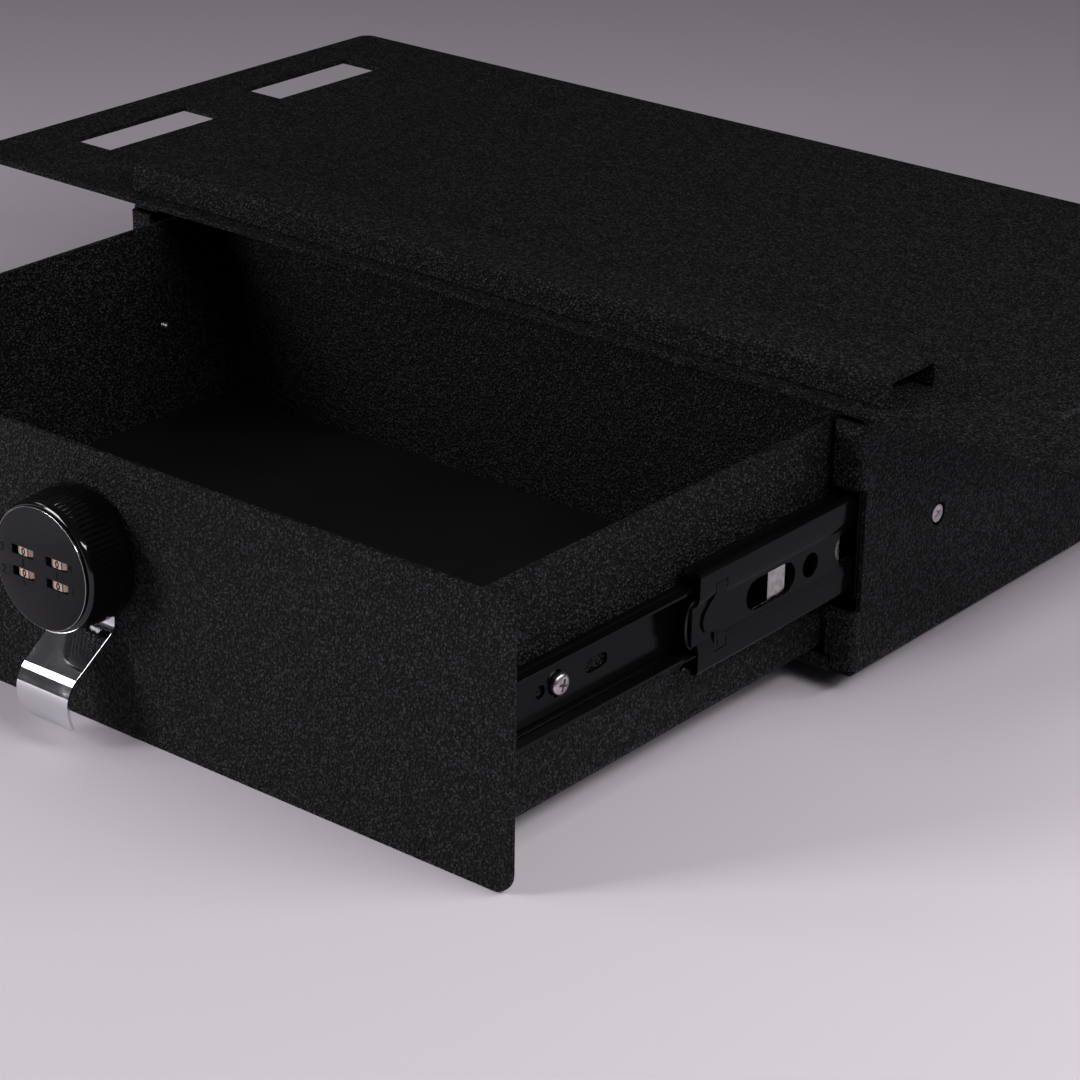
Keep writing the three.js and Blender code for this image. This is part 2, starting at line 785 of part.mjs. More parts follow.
function drawerTray() {
  const wall = trayHalf - traySheet / 2;
  const floor = trayFloorHeight + traySheet / 2;
  const path = rounded(
    vectors([-wall, trayTop], [-wall, floor], [wall, floor], [wall, trayTop]),
    trayBend - traySheet / 2,
  );
  const shell = extrude(sheetShape(path, traySheet), 'y', trayFront, trayRear);
  const radii = [trayBend, trayBend, 0, 0];
  const back = rectShape(-trayHalf, trayHalf, trayFloorHeight, trayTop, radii);
  const rearWall = extrude(back, 'y', trayRear - traySheet, trayRear);
  const floorFlange = box(
    -trayHalf + trayFlange + trayBend,
    trayHalf - trayFlange - trayBend,
    trayFront,
    trayFront + traySheet,
    trayFloorHeight,
    trayFloorHeight + trayFlange,
  );
  let tray = join(shell, rearWall, floorFlange);
  for (const side of [1, -1]) {
    const near = side > 0 ? trayHalf - trayFlange : -trayHalf;
    const low = trayFloorHeight + trayBend;
    tray = tray.add(box(near, near + trayFlange, trayFront, trayFront + traySheet, low, trayTop - trayBend));
    const inside = side > 0 ? trayHalf - traySheet - 1 : -trayHalf - 1;
    for (const index of [0, 1]) {
      const y = innerFront + drawerScrewAt + index * drawerScrewPitch;
      tray = cut(tray, rod('x', inside, inside + traySheet + 2, y, slideCentre, screwShank / 2 + seat));
    }
  }
  return tray;
}

function drawerFront() {
  const half = panelWidth / 2;
  const top = trayTop + panelTopRise;
  const radii = [panelCorner, panelCorner, panelCorner, panelCorner];
  const outline = rectShape(-half, half, top - panelHeight, top, radii, cornerSteps);
  const panel = extrude(outline, 'y', panelFront, panelBack);
  const hole = rod('y', panelFront - 1, panelBack + 1, lockX, lockHeight, barrelWidth / 2 + seat, roundSides / 2);
  return cut(panel, hole);
}

function floorLiner() {
  const half = trayHalf - traySheet - matGap;
  const front = trayFront + traySheet + matGap;
  const rear = trayRear - traySheet - matGap;
  const low = trayFloorHeight + traySheet + seat;
  const radii = [matCorner, matCorner, matCorner, matCorner];
  return extrude(rectShape(-half, half, front, rear, radii), 'z', low, low + matThickness);
}

// Lock, drawn about its own axis: X and Z across it, -Y out of the panel's front face

function lockBarrel() {
  const body = turned([
    [barrelEndOut, spindleWidth / 2 + seat],
    [barrelEndOut, barrelWidth / 2 - 0.6],
    [barrelEndOut + 0.6, barrelWidth / 2],
    [knobRearOut, barrelWidth / 2],
    [knobRearOut, barrelFlange / 2],
    [barrelFlangeOut, barrelFlange / 2],
    [barrelFlangeOut, spindleFlange / 2 + seat],
    [spindleFlangeIn - seat, spindleFlange / 2 + seat],
    [spindleFlangeIn - seat, spindleWidth / 2 + seat],
    [barrelEndOut, spindleWidth / 2 + seat],
  ], roundSides / 2);
  return body;
}

function lockNut() {
  const front = -panelSheet - seat;
  const ring = extrude(new THREE.Shape(circlePoints(0, 0, nutAcross / Math.sqrt(3), 6)), 'y', -front, -front + nutHeight);
  return cut(ring, rod('y', -front - 1, -front + nutHeight + 1, 0, 0, barrelWidth / 2 + seat, roundSides / 2));
}

function lockSpindle() {
  const shaft = turned([
    [spindleShoulderOut, 0],
    [spindleShoulderOut, spindleWidth / 2],
    [spindleFlangeIn, spindleWidth / 2],
    [spindleFlangeIn, spindleFlange / 2],
    [spindleFlangeOut, spindleFlange / 2],
    [spindleFlangeOut, 0],
  ], roundSides / 2);
  const drive = driveSquare / 2;
  const driveEnd = knobFloorOut - seat;
  const front = box(-drive, drive, -driveEnd, -spindleFlangeOut + 0.1, -drive, drive);
  const square = camSquare / 2;
  const rear = box(-square, square, -spindleShoulderOut - 0.1, -camRearOut - seat, -square, square);
  const tapped = rod('y', -camScrewOut - camScrewDepth - 1, -camScrewOut + 1, 0, 0, camScrewShank / 2 + seat, screwSides);
  return cut(join(shaft, front, rear), tapped);
}

function lockCam() {
  const eye = camEye / 2;
  const tip = camWidth / 2;
  const join0 = Math.acos(tip / eye);
  const steps = 8;
  const points = [];
  for (let i = 0; i <= 2 * steps; i += 1) {
    const angle = -(Math.PI / 2 + join0) + ((Math.PI + 2 * join0) * i) / (2 * steps);
    points.push(new THREE.Vector2(eye * Math.cos(angle), eye * Math.sin(angle)));
  }
  for (let i = 0; i <= steps; i += 1) {
    const angle = Math.PI / 2 + (Math.PI * i) / steps;
    points.push(new THREE.Vector2(-camReach + tip + tip * Math.cos(angle), tip * Math.sin(angle)));
  }
  const plate = extrude(new THREE.Shape(points), 'y', -camFrontOut, -camRearOut);
  const hole = camSquare / 2 + seat;
  return cut(plate, box(-hole, hole, -camFrontOut - 1, -camRearOut + 1, -hole, hole));
}

function camScrew() {
  const head = camScrewHead / 2;
  const shank = camScrewShank / 2;
  const top = camScrewOut - camScrewHeight;
  const body = turned([
    [top, 0],
    [top, head - 0.6],
    [top + 0.6, head],
    [camScrewOut, head],
    [camScrewOut, shank],
    [camScrewOut + camScrewDepth - seat, shank],
    [camScrewOut + camScrewDepth - seat, 0],
  ], screwSides);
  const half = crossLength / 2;
  const thin = crossWidth / 2;
  const rear = -top;
  const across = box(-half, half, rear - crossDepth, rear + 1, -thin, thin);
  const up = box(-thin, thin, rear - crossDepth, rear + 1, -half, half);
  return cut(body, across, up);
}

// The knob's outer form: rings of points whose radius swings in and out where it is ribbed.
function ribbedBody() {
  const sides = 2 * ribCount;
  const wide = knobWidth / 2;
  const narrow = knobRibFront / 2;
  const ribRear = knobRearOut + knobCollar;
  const ribFront = knobFrontOut - knobBevel - knobBand;
  const slope = (narrow - wide) / (ribFront - ribRear);
  const rings = [
    [knobRearOut, wide - knobEdge, 0],
    [knobRearOut + knobEdge, wide, 0],
    [ribRear, wide, 0],
    [ribRear + ribFade, wide + slope * ribFade, ribDepth],
    [ribFront - ribFade, narrow - slope * ribFade, ribDepth],
    [ribFront, narrow, 0],
    [knobFrontOut - knobBevel, narrow, 0],
    [knobFrontOut, knobFace / 2, 0],
  ];
  const positions = [];
  for (const [out, radius, depth] of rings) {
    for (let i = 0; i < sides; i += 1) {
      const angle = (2 * Math.PI * i) / sides;
      const r = radius - (i % 2 ? depth : 0);
      positions.push(r * Math.cos(angle), -out, r * Math.sin(angle));
    }
  }
  const rearCentre = positions.length / 3;
  positions.push(0, -rings[0][0], 0);
  positions.push(0, -rings[rings.length - 1][0], 0);
  const index = [];
  for (let k = 0; k < sides; k += 1) {
    const next = (k + 1) % sides;
    for (let row = 0; row < rings.length - 1; row += 1) {
      const [a, b] = [row * sides + k, row * sides + next];
      const [c, d] = [a + sides, b + sides];
      index.push(a, b, c, b, d, c);
    }
    const last = (rings.length - 1) * sides;
    index.push(rearCentre, next, k);
    index.push(rearCentre + 1, last + k, last + next);
  }
  const geometry = new THREE.BufferGeometry();
  geometry.setAttribute('position', new THREE.Float32BufferAttribute(positions, 3));
  geometry.setIndex(index);
  return toSolid(geometry);
}

function knobBody() {
  const cavity = rod('y', -knobFrontOut - 1, -knobFloorOut, 0, 0, knobCavity / 2, roundSides);
  const recess = rod('y', -knobRecessOut, -knobRearOut + 1, 0, 0, barrelFlange / 2 + 2 * seat, roundSides);
  const drive = driveSquare / 2 + seat;
  const square = box(-drive, drive, -knobFloorOut - 1, -knobRecessOut + 1, -drive, drive);
  return cut(ribbedBody(), cavity, recess, square);
}

function facePlate() {
  const disc = turned([[faceBackOut, 0], [faceBackOut, knobFace / 2], [faceFrontOut - 0.3, knobFace / 2],
    [faceFrontOut, knobFace / 2 - 0.3], [faceFrontOut, 0]]);
  const windows = wheelPlaces().map(([x, z]) => box(
    x - windowAcross / 2,
    x + windowAcross / 2,
    -faceFrontOut - 1,
    -faceBackOut + 1,
    z - windowUp / 2,
    z + windowUp / 2,
  ));
  return cut(disc, ...windows);
}

function wheelPlaces() {
  const x = wheelPitchX / 2;
  const z = wheelPitchZ / 2;
  return [[-x, z], [x, z], [-x, -z], [x, -z]];
}

// A ten-sided number wheel with a hub that keeps it from its neighbour and from the frame.
function numberWheel(up) {
  const corner = wheelFlats / 2 / Math.cos(Math.PI / digitsPerWheel);
  const turn = -Math.PI / 2 + Math.PI / digitsPerWheel;
  const drum = extrude(new THREE.Shape(circlePoints(0, 0, corner, digitsPerWheel, turn)), 'z', -wheelHeight / 2, wheelHeight / 2);
  const inner = wheelPitchZ / 2 - seat / 2;
  const outer = frameInside() - wheelPitchZ / 2 - seat;
  const hub = rod('z', up > 0 ? -inner : -outer, up > 0 ? outer : inner, 0, 0, wheelHub / 2, screwSides);
  const bore = rod('z', -wheelPitchZ, wheelPitchZ, 0, 0, axleWidth / 2 + seat, screwSides);
  return cut(join(drum, hub), bore);
}

function frameInside() {
  return wheelPitchZ / 2 + wheelHeight / 2 + 2.7;
}

function wheelFrame() {
  const front = -(knobFrontOut - frameFront);
  const rear = -(knobFloorOut + frameRear);
  const inside = frameInside();
  const outside = inside + frameShelf;
  const half = Math.sqrt((knobCavity / 2) ** 2 - outside ** 2) - seat;
  const shelves = [inside, -outside].map((z) => box(-half, half, front, rear, z, z + frameShelf));
  const web = box(-frameWeb / 2, frameWeb / 2, front, rear, -outside, outside);
  const holes = [-wheelPitchX / 2, wheelPitchX / 2].map((x) => (
    rod('z', -outside - 1, outside + 1, x, -wheelOut, axleWidth / 2 + seat, screwSides)
  ));
  return cut(join(...shelves, web), ...holes);
}

function wheelAxle() {
  const reach = frameInside() + frameShelf + axleSpare;
  return rod('z', -reach, reach, 0, 0, axleWidth / 2, screwSides);
}

// The strip's side view: flat against the panel, out and down, then a curled lip.
function tabPath() {
  const middle = tabBackOut + tabSheet / 2;
  const bendOut = middle + tabSlopeOut;
  const bendUp = -tabRootDrop - tabSlopeDrop;
  const lip = [[bendOut, bendUp - tabLipStraight]];
  const steps = 4;
  for (let i = 1; i <= steps; i += 1) {
    const curl = ((tabLipLength - tabLipStraight) * i) / steps;
    const out = bendOut - tabLipRadius + Math.sqrt(tabLipRadius ** 2 - curl ** 2);
    lip.push([out, bendUp - tabLipStraight - curl]);
  }
  const corners = vectors([middle, tabRootWidth / 2 + 1], [middle, -tabRootDrop], [bendOut, bendUp], ...lip);
  const radii = [0, tabRootBend, tabLipBend, ...lip.map(() => 0)];
  return { path: rounded(corners, radii), end: corners[corners.length - 1] };
}

function pullTab() {
  const { path, end } = tabPath();
  const side = path.map((point) => new THREE.Vector2(-point.x, point.y));
  const strip = extrude(sheetShape(side, tabSheet), 'x', -tabRootWidth, tabRootWidth);
  const root = tabRootWidth / 2;
  const lip = tabLipWidth / 2;
  const bendDrop = -tabRootDrop - tabSlopeDrop;
  const steps = 12;
  const crown = [];
  for (let i = 0; i <= steps; i += 1) {
    const angle = (Math.PI * i) / steps;
    crown.push(new THREE.Vector2(root * Math.cos(angle), root * Math.sin(angle)));
  }
  const low = rounded(
    vectors([-root, 0], [-lip, bendDrop], [-lip, end.y], [lip, end.y], [lip, bendDrop], [root, 0]),
    [0, 0, tabWideCorner, tabNarrowCorner, 0, 0],
  );
  const front = new THREE.Shape([...crown, ...low.slice(1, -1)]);
  const mask = extrude(front, 'y', -2 * tabSlopeOut, tabSheet);
  const hole = rod('y', -tabFrontOut - 1, 1, 0, 0, barrelWidth / 2 + seat, roundSides / 2);
  return cut(strip.intersect(mask), hole);
}

// Assembly

const safe = new THREE.Group();

const housing = new THREE.Group();
housing.add(
  mesh('housing_shell', housingShell(), powderCoat),
  mesh('housing_rear_panel', rearPanel(), powderCoat),
  mesh('top_plate', topPlate(), powderCoat),
  mesh('top_channel', topChannel(), powderCoat),
);
safe.add(housing);

// The pieces that travel with the drawer stand open by its travel, or by their share of it.
function slideGroup(share, right) {
  const group = new THREE.Group();
  group.position.set(right ? trayHalf : -trayHalf, -drawerOpen * share, slideCentre);
  group.rotation.y = right ? 0 : Math.PI;
  safe.add(group);
  return group;
}

for (const [name, right] of [['right', true], ['left', false]]) {
  const screwUp = right ? -housingScrewDrop : housingScrewDrop;
  slideGroup(0, right).add(
    mesh(`slide_outer_${name}`, outerMember(), blackSteel),
    mesh(`housing_screw_front_${name}`, housingScrew(0, screwUp), brightZinc),
    mesh(`housing_screw_rear_${name}`, housingScrew(1, screwUp), brightZinc),
  );
  slideGroup(0.25, right).add(mesh(`ball_cage_outer_${name}`, outerCage(), brightZinc));
  slideGroup(0.5, right).add(
    mesh(`slide_mid_${name}`, midMember(), blackSteel),
    mesh(`mid_clip_${name}`, midClip(), blackSteel),
    mesh(`mid_bumper_${name}`, midBumper(), blackNylon),
  );
  slideGroup(0.75, right).add(mesh(`ball_cage_inner_${name}`, innerCage(), brightZinc));
  slideGroup(1, right).add(
    mesh(`slide_inner_${name}`, innerMember(), blackSteel),
    mesh(`drawer_screw_front_${name}`, drawerScrew(0), brightZinc),
    mesh(`drawer_screw_rear_${name}`, drawerScrew(1), brightZinc),
  );
}

const drawer = new THREE.Group();
drawer.position.set(0, -drawerOpen, 0);
drawer.add(
  mesh('drawer_tray', drawerTray(), powderCoat),
  mesh('drawer_front', drawerFront(), powderCoat),
  mesh('floor_liner', floorLiner(), floorMat),
);
safe.add(drawer);

const lock = new THREE.Group();
lock.position.set(lockX, panelFront, lockHeight);
lock.add(
  mesh('pull_tab', pullTab(), chromePlate),
  mesh('lock_barrel', lockBarrel(), blackSteel),
  mesh('lock_nut', lockNut(), brightZinc),
  mesh('knob_body', knobBody(), glossBlack),
  mesh('knob_face', facePlate(), satinFace),
  mesh('lock_spindle', lockSpindle(), brightZinc),
  mesh('lock_cam', lockCam(), brightZinc),
  mesh('cam_screw', camScrew(), brightZinc),
  mesh('wheel_frame', wheelFrame(), blackSteel),
);
wheelPlaces().forEach(([x, z], i) => {
  const wheel = mesh(`number_wheel_${i + 1}`, numberWheel(z), creamPlastic);
  wheel.position.set(x, -wheelOut, z);
  lock.add(wheel);
});
for (const [name, side] of [['left', -1], ['right', 1]]) {
  const axle = mesh(`wheel_axle_${name}`, wheelAxle(), brightZinc);
  axle.position.set((side * wheelPitchX) / 2, -wheelOut, 0);
  lock.add(axle);
}
drawer.add(lock);

export default safe;
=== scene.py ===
"""Looks for a vehicle drawer safe: coated sheet steel, ball-bearing slides, number lock and chrome tab."""

import math

import bmesh
import bpy
from mathutils import Matrix, Quaternion, Vector


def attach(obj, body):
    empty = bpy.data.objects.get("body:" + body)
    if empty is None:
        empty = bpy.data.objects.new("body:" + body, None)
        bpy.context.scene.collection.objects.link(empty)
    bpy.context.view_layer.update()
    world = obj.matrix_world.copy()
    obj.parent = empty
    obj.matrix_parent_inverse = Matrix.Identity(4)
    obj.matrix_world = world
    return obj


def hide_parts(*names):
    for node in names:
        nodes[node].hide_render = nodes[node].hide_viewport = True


MM = 0.001
FACING = {"x": Vector((1, 0, 0)), "y": Vector((0, 1, 0)), "z": Vector((0, 0, 1))}
SIDES = (("left", -1), ("right", 1))
FONT_SIZE_PER_HEIGHT = 1.42

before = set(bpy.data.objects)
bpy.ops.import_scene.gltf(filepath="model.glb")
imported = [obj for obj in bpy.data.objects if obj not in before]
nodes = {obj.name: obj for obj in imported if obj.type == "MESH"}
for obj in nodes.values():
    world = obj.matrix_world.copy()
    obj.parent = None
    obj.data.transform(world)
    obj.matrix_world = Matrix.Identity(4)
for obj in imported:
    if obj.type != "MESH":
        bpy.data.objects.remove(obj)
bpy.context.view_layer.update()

# Sizes in millimetres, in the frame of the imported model

HOUSING_DEPTH = 257
DRAWER_OPEN = 191.5
MOUTH_Y = -HOUSING_DEPTH / 2
TRAY_HALF = 172.7
SLIDE_Z = 53.2
PANEL_FRONT = MOUTH_Y - 2.5 - DRAWER_OPEN
LOCK = Vector((-11.4, PANEL_FRONT, 60.5))
FLOOR_LEVEL = -8.6

OUTER_FRONT = MOUTH_Y + 4
MID_FRONT = OUTER_FRONT + 1.75 - DRAWER_OPEN / 2
INNER_FRONT = OUTER_FRONT - 4.1 - DRAWER_OPEN
DRAWER_SCREW_AT = 35
DRAWER_SCREW_PITCH = 158
HOUSING_SCREW_AT = 50.7
HOUSING_SCREW_PITCH = 128
HOUSING_SCREW_DROP = 3.1

KNOB_REAR = 1.8
KNOB_FRONT = 21.8
FACE_BACK = 22.1
FACE_FRONT = 23.1
KNOB_RADIUS = 26.0
KNOB_NARROW_RADIUS = 24.9
KNOB_FACE_RADIUS = 23.2
RIBS = 72
DIGITS = 10
WHEEL_PITCH_X = 17.3
WHEEL_PITCH_Z = 8.4
WHEEL_APOTHEM = 7.0
WHEEL_HEIGHT = 3.0
WHEEL_OUT = FACE_FRONT - 0.3 - WHEEL_APOTHEM

# Colours and materials


def linear(hex_colour, alpha=1.0):
    """An sRGB hex colour as linear light."""
    channels = [int(hex_colour[i:i + 2], 16) / 255 for i in (1, 3, 5)]
    return (*[c / 12.92 if c <= 0.04045 else ((c + 0.055) / 1.055) ** 2.4 for c in channels], alpha)


def add(tree, kind, inputs=None, **settings):
    """A node with its settings; inputs holds values or (node, output) links by socket name or number."""
    made = tree.nodes.new(kind)
    for key, value in settings.items():
        setattr(made, key, value)
    for key, value in (inputs or {}).items():
        if isinstance(value, tuple) and len(value) == 2 and isinstance(value[0], bpy.types.Node):
            tree.links.new(value[0].outputs[value[1]], made.inputs[key])
        else:
            made.inputs[key].default_value = value
    return made


def ramp(tree, source, stops):
    """A colour ramp fed by (node, output) with (position, value or colour) stops."""
    made = add(tree, "ShaderNodeValToRGB", {0: source})
    elements = made.color_ramp.elements
    while len(elements) < len(stops):
        elements.new(1.0)
    for element, (position, value) in zip(elements, stops):
        element.position = position
        element.color = value if isinstance(value, tuple) else (value, value, value, 1)
    return made


def material(name, **shader):
    """A material with a principled shader, its node tree, the shader and the object's own coordinates."""
    made = bpy.data.materials.new(name)
    made.use_nodes = True
    tree = made.node_tree
    tree.nodes.clear()
    surface = add(tree, "ShaderNodeBsdfPrincipled", shader)
    add(tree, "ShaderNodeOutputMaterial", {"Surface": (surface, "BSDF")})
    place = add(tree, "ShaderNodeTexCoord")
    return made, tree, surface, (place, "Object")


def wire(source, surface, socket):
    """Feeds a node's first output to a socket of the shader."""
    surface.id_data.links.new(source.outputs[0], surface.inputs[socket])


def per_metre(millimetres):
    """The scale of a pattern whose repeat is that long, for coordinates in metres."""
    return 1 / (millimetres * MM)


def wrinkle_coat():
    # Black texture powder coat, baked on steel: the film draws together into hard rounded grains about 1.1 mm
    # across, of sizes that differ at random. The base colour follows each grain's height: the crowns are
    # painted greyer as a painted highlight and the gaps darker as painted shade. The crowns are also
    # smoother, so they glint.
    made, tree, surface, place = material("texture_powder_coat", **{"IOR": 1.5, "Specular IOR Level": 0.09})
    warp = add(tree, "ShaderNodeTexNoise", {"Vector": place, "Scale": per_metre(2.0), "Detail": 2.0})
    centred = add(tree, "ShaderNodeVectorMath", {0: (warp, "Color"), 1: (0.5, 0.5, 0.5)},
                  operation="SUBTRACT")
    shift = add(tree, "ShaderNodeVectorMath", {0: (centred, 0), "Scale": 1.5 * MM}, operation="SCALE")
    warped = add(tree, "ShaderNodeVectorMath", {0: place, 1: (shift, 0)}, operation="ADD")
    grains = add(tree, "ShaderNodeTexVoronoi", {"Vector": (warped, 0), "Scale": per_metre(1.1)}, feature="F1")
    dome = ramp(tree, (grains, "Distance"), [(0.0, 1.0), (0.35, 0.8), (0.8, 0.0)])
    own = add(tree, "ShaderNodeSeparateColor", {0: (grains, "Color")})
    swell = add(tree, "ShaderNodeTexNoise", {"Vector": place, "Scale": per_metre(3.4), "Detail": 2.0})
    size = add(tree, "ShaderNodeMath", {0: (own, 0), 1: 0.6, 2: (swell, 0)}, operation="MULTIPLY_ADD")
    relief = add(tree, "ShaderNodeMath", {0: (dome, 0), 1: (size, 0)}, operation="MULTIPLY")
    grit = add(tree, "ShaderNodeTexNoise", {"Vector": place, "Scale": per_metre(0.45), "Detail": 2.0})
    height = add(tree, "ShaderNodeMath", {0: (grit, 0), 1: 0.4, 2: (relief, 0)}, operation="MULTIPLY_ADD")
    bump = add(tree, "ShaderNodeBump", {"Height": (height, 0), "Strength": 1.0, "Distance": 0.9 * MM})
    wire(bump, surface, "Normal")
    # Painted highlight and painted shade: the base colour is lighter on the grains' crowns and darker in the
    # gaps between them.
    colour = ramp(tree, (relief, 0), [(0.15, linear("#080808")), (0.45, linear("#161617")),
                                      (0.7, linear("#242325")), (1.0, linear("#363437"))])
    wire(colour, surface, "Base Color")
    rough = ramp(tree, (relief, 0), [(0.15, 0.6), (0.8, 0.36)])
    wire(rough, surface, "Roughness")
    return made


def black_slide_steel():
    # Black electrophoretic lacquer on rolled strip steel: smooth, with faint marks along the
    # slide's run, so it mirrors a pale floor as a soft grey and stays black elsewhere.
    made, tree, surface, place = material(
        "black_lacquered_steel", **{"Base Color": linear("#060607"), "Roughness": 0.18, "IOR": 1.5,
                                    "Specular IOR Level": 0.08})
    along = add(tree, "ShaderNodeMapping", {"Vector": place, "Scale": (1.0, 0.04, 1.0)})
    draw = add(tree, "ShaderNodeTexNoise", {"Vector": (along, 0), "Scale": per_metre(0.5), "Detail": 3.0})
    stain = add(tree, "ShaderNodeTexNoise", {"Vector": place, "Scale": per_metre(14), "Detail": 4.0})
    worn = add(tree, "ShaderNodeMath", {0: (draw, 0), 1: (stain, 0)}, operation="MULTIPLY")
    rough = ramp(tree, (worn, 0), [(0.1, 0.13), (0.5, 0.22)])
    wire(rough, surface, "Roughness")
    bump = add(tree, "ShaderNodeBump", {"Height": (draw, 0), "Strength": 0.15, "Distance": 0.02 * MM})
    wire(bump, surface, "Normal")
    return made


def black_nylon():
    # Moulded black nylon: a soft sheen and a fine grain from the mould.
    made, tree, surface, place = material(
        "black_nylon", **{"Base Color": linear("#0d0d0e"), "Roughness": 0.4, "IOR": 1.53})
    grain = add(tree, "ShaderNodeTexNoise", {"Vector": place, "Scale": per_metre(0.4), "Detail": 2.0})
    bump = add(tree, "ShaderNodeBump", {"Height": (grain, 0), "Strength": 0.3, "Distance": 0.03 * MM})
    wire(bump, surface, "Normal")
    return made


def bright_zinc():
    # Bright zinc plate on pressed or turned steel: a pale, slightly blue metal with cloudy dull
    # patches where the plating is thin.
    made, tree, surface, place = material(
        "bright_zinc_plate", **{"Base Color": linear("#c4c2c3"), "Metallic": 1.0, "Roughness": 0.28})
    cloud = add(tree, "ShaderNodeTexNoise", {"Vector": place, "Scale": per_metre(2.5), "Detail": 4.0})
    rough = ramp(tree, (cloud, 0), [(0.3, 0.2), (0.7, 0.4)])
    wire(rough, surface, "Roughness")
    tint = ramp(tree, (cloud, 0), [(0.3, linear("#cbc9ca")), (0.75, linear("#a8a5a6"))])
    wire(tint, surface, "Base Color")
    bump = add(tree, "ShaderNodeBump", {"Height": (cloud, 0), "Strength": 0.15, "Distance": 0.05 * MM})
    wire(bump, surface, "Normal")
    return made


def chrome_plate():
    # Polished chrome on a bent steel strip: a near mirror whose surface still ripples a little
    # from the polishing wheel, with thin smears of handling.
    made, tree, surface, place = material(
        "polished_chrome", **{"Base Color": linear("#dddee0"), "Metallic": 1.0, "Roughness": 0.06})
    smear = add(tree, "ShaderNodeTexNoise", {"Vector": place, "Scale": per_metre(9), "Detail": 4.0})
    rough = ramp(tree, (smear, 0), [(0.35, 0.04), (0.75, 0.12)])
    wire(rough, surface, "Roughness")
    ripple = add(tree, "ShaderNodeTexNoise", {"Vector": place, "Scale": per_metre(11), "Detail": 1.0})
    bump = add(tree, "ShaderNodeBump", {"Height": (ripple, 0), "Strength": 0.2, "Distance": 0.05 * MM})
    wire(bump, surface, "Normal")
    return made


def gloss_enamel():
    # Gloss black enamel on a die-cast knob: deep black with sharp highlights and a faint
    # orange-peel ripple.
    made, tree, surface, place = material(
        "gloss_black_enamel", **{"Base Color": linear("#040405"), "Roughness": 0.12, "IOR": 1.52})
    peel = add(tree, "ShaderNodeTexNoise", {"Vector": place, "Scale": per_metre(1.6), "Detail": 1.0})
    bump = add(tree, "ShaderNodeBump", {"Height": (peel, 0), "Strength": 0.12, "Distance": 0.03 * MM})
    wire(bump, surface, "Normal")
    dust = add(tree, "ShaderNodeTexNoise", {"Vector": place, "Scale": per_metre(3), "Detail": 4.0})
    rough = ramp(tree, (dust, 0), [(0.4, 0.07), (0.8, 0.14)])
    wire(rough, surface, "Roughness")
    return made


def satin_face():
    # Satin black lacquer on the lock's face, sprayed thin: smooth and dark grey with an even sheen.
    made, tree, surface, place = material(
        "satin_black_lacquer", **{"Base Color": linear("#0a0a0b"), "Roughness": 0.3, "IOR": 1.5,
                                  "Specular IOR Level": 0.17})
    spray = add(tree, "ShaderNodeTexNoise", {"Vector": place, "Scale": per_metre(0.5), "Detail": 2.0})
    bump = add(tree, "ShaderNodeBump", {"Height": (spray, 0), "Strength": 0.2, "Distance": 0.02 * MM})
    wire(bump, surface, "Normal")
    rough = ramp(tree, (spray, 0), [(0.3, 0.26), (0.8, 0.36)])
    wire(rough, surface, "Roughness")
    return made


def bare_edge():
    # The face plate's rim, turned in a lathe and left bare: a hairline of polished metal.
    made, tree, surface, place = material(
        "turned_rim", **{"Base Color": linear("#b4b2b4"), "Metallic": 1.0, "Roughness": 0.15})
    lines = add(tree, "ShaderNodeTexNoise", {"Vector": place, "Scale": per_metre(0.3), "Detail": 2.0})
    rough = ramp(tree, (lines, 0), [(0.3, 0.1), (0.8, 0.2)])
    wire(rough, surface, "Roughness")
    return made


def cream_plastic():
    # Cream acetal number wheels, moulded: waxy and a little translucent-looking, with a soft gloss.
    made, tree, surface, place = material(
        "cream_acetal", **{"Base Color": linear("#a38f83"), "Roughness": 0.38, "IOR": 1.48})
    tone = add(tree, "ShaderNodeTexNoise", {"Vector": place, "Scale": per_metre(2), "Detail": 3.0})
    colour = ramp(tree, (tone, 0), [(0.3, linear("#99857a")), (0.7, linear("#ad998d"))])
    wire(colour, surface, "Base Color")
    return made


def print_ink():
    # Black stamping ink in the digits and marks: dull, with next to no gloss, and slightly uneven.
    made, tree, surface, place = material(
        "stamping_ink", **{"Base Color": linear("#060606"), "Roughness": 0.7, "Specular IOR Level": 0.1})
    tone = add(tree, "ShaderNodeTexNoise", {"Vector": place, "Scale": per_metre(0.6), "Detail": 2.0})
    colour = ramp(tree, (tone, 0), [(0.35, linear("#040404")), (0.7, linear("#0b0a0a"))])
    wire(colour, surface, "Base Color")
    return made


def floor_mat_rubber():
    # Thin black rubber mat, calendered: dead matt, with a fine leather-like grain.
    made, tree, surface, place = material(
        "calendered_rubber", **{"Base Color": linear("#0a0a0b"), "Roughness": 0.9,
                                "Specular IOR Level": 0.15})
    grain = add(tree, "ShaderNodeTexVoronoi", {"Vector": place, "Scale": per_metre(0.9)},
                feature="SMOOTH_F1")
    bump = add(tree, "ShaderNodeBump", {"Height": (grain, "Distance"), "Strength": 0.3,
                                        "Distance": 0.06 * MM})
    wire(bump, surface, "Normal")
    tone = add(tree, "ShaderNodeTexNoise", {"Vector": place, "Scale": per_metre(60), "Detail": 3.0})
    colour = ramp(tree, (tone, 0), [(0.35, linear("#09090a")), (0.7, linear("#0f0f10"))])
    wire(colour, surface, "Base Color")
    return made


COAT = wrinkle_coat()
SLIDE_STEEL = black_slide_steel()
NYLON = black_nylon()
ZINC = bright_zinc()
CHROME = chrome_plate()
ENAMEL = gloss_enamel()
FACE = satin_face()
RIM = bare_edge()
CREAM = cream_plastic()
INK = print_ink()
MAT = floor_mat_rubber()

# Mesh tools


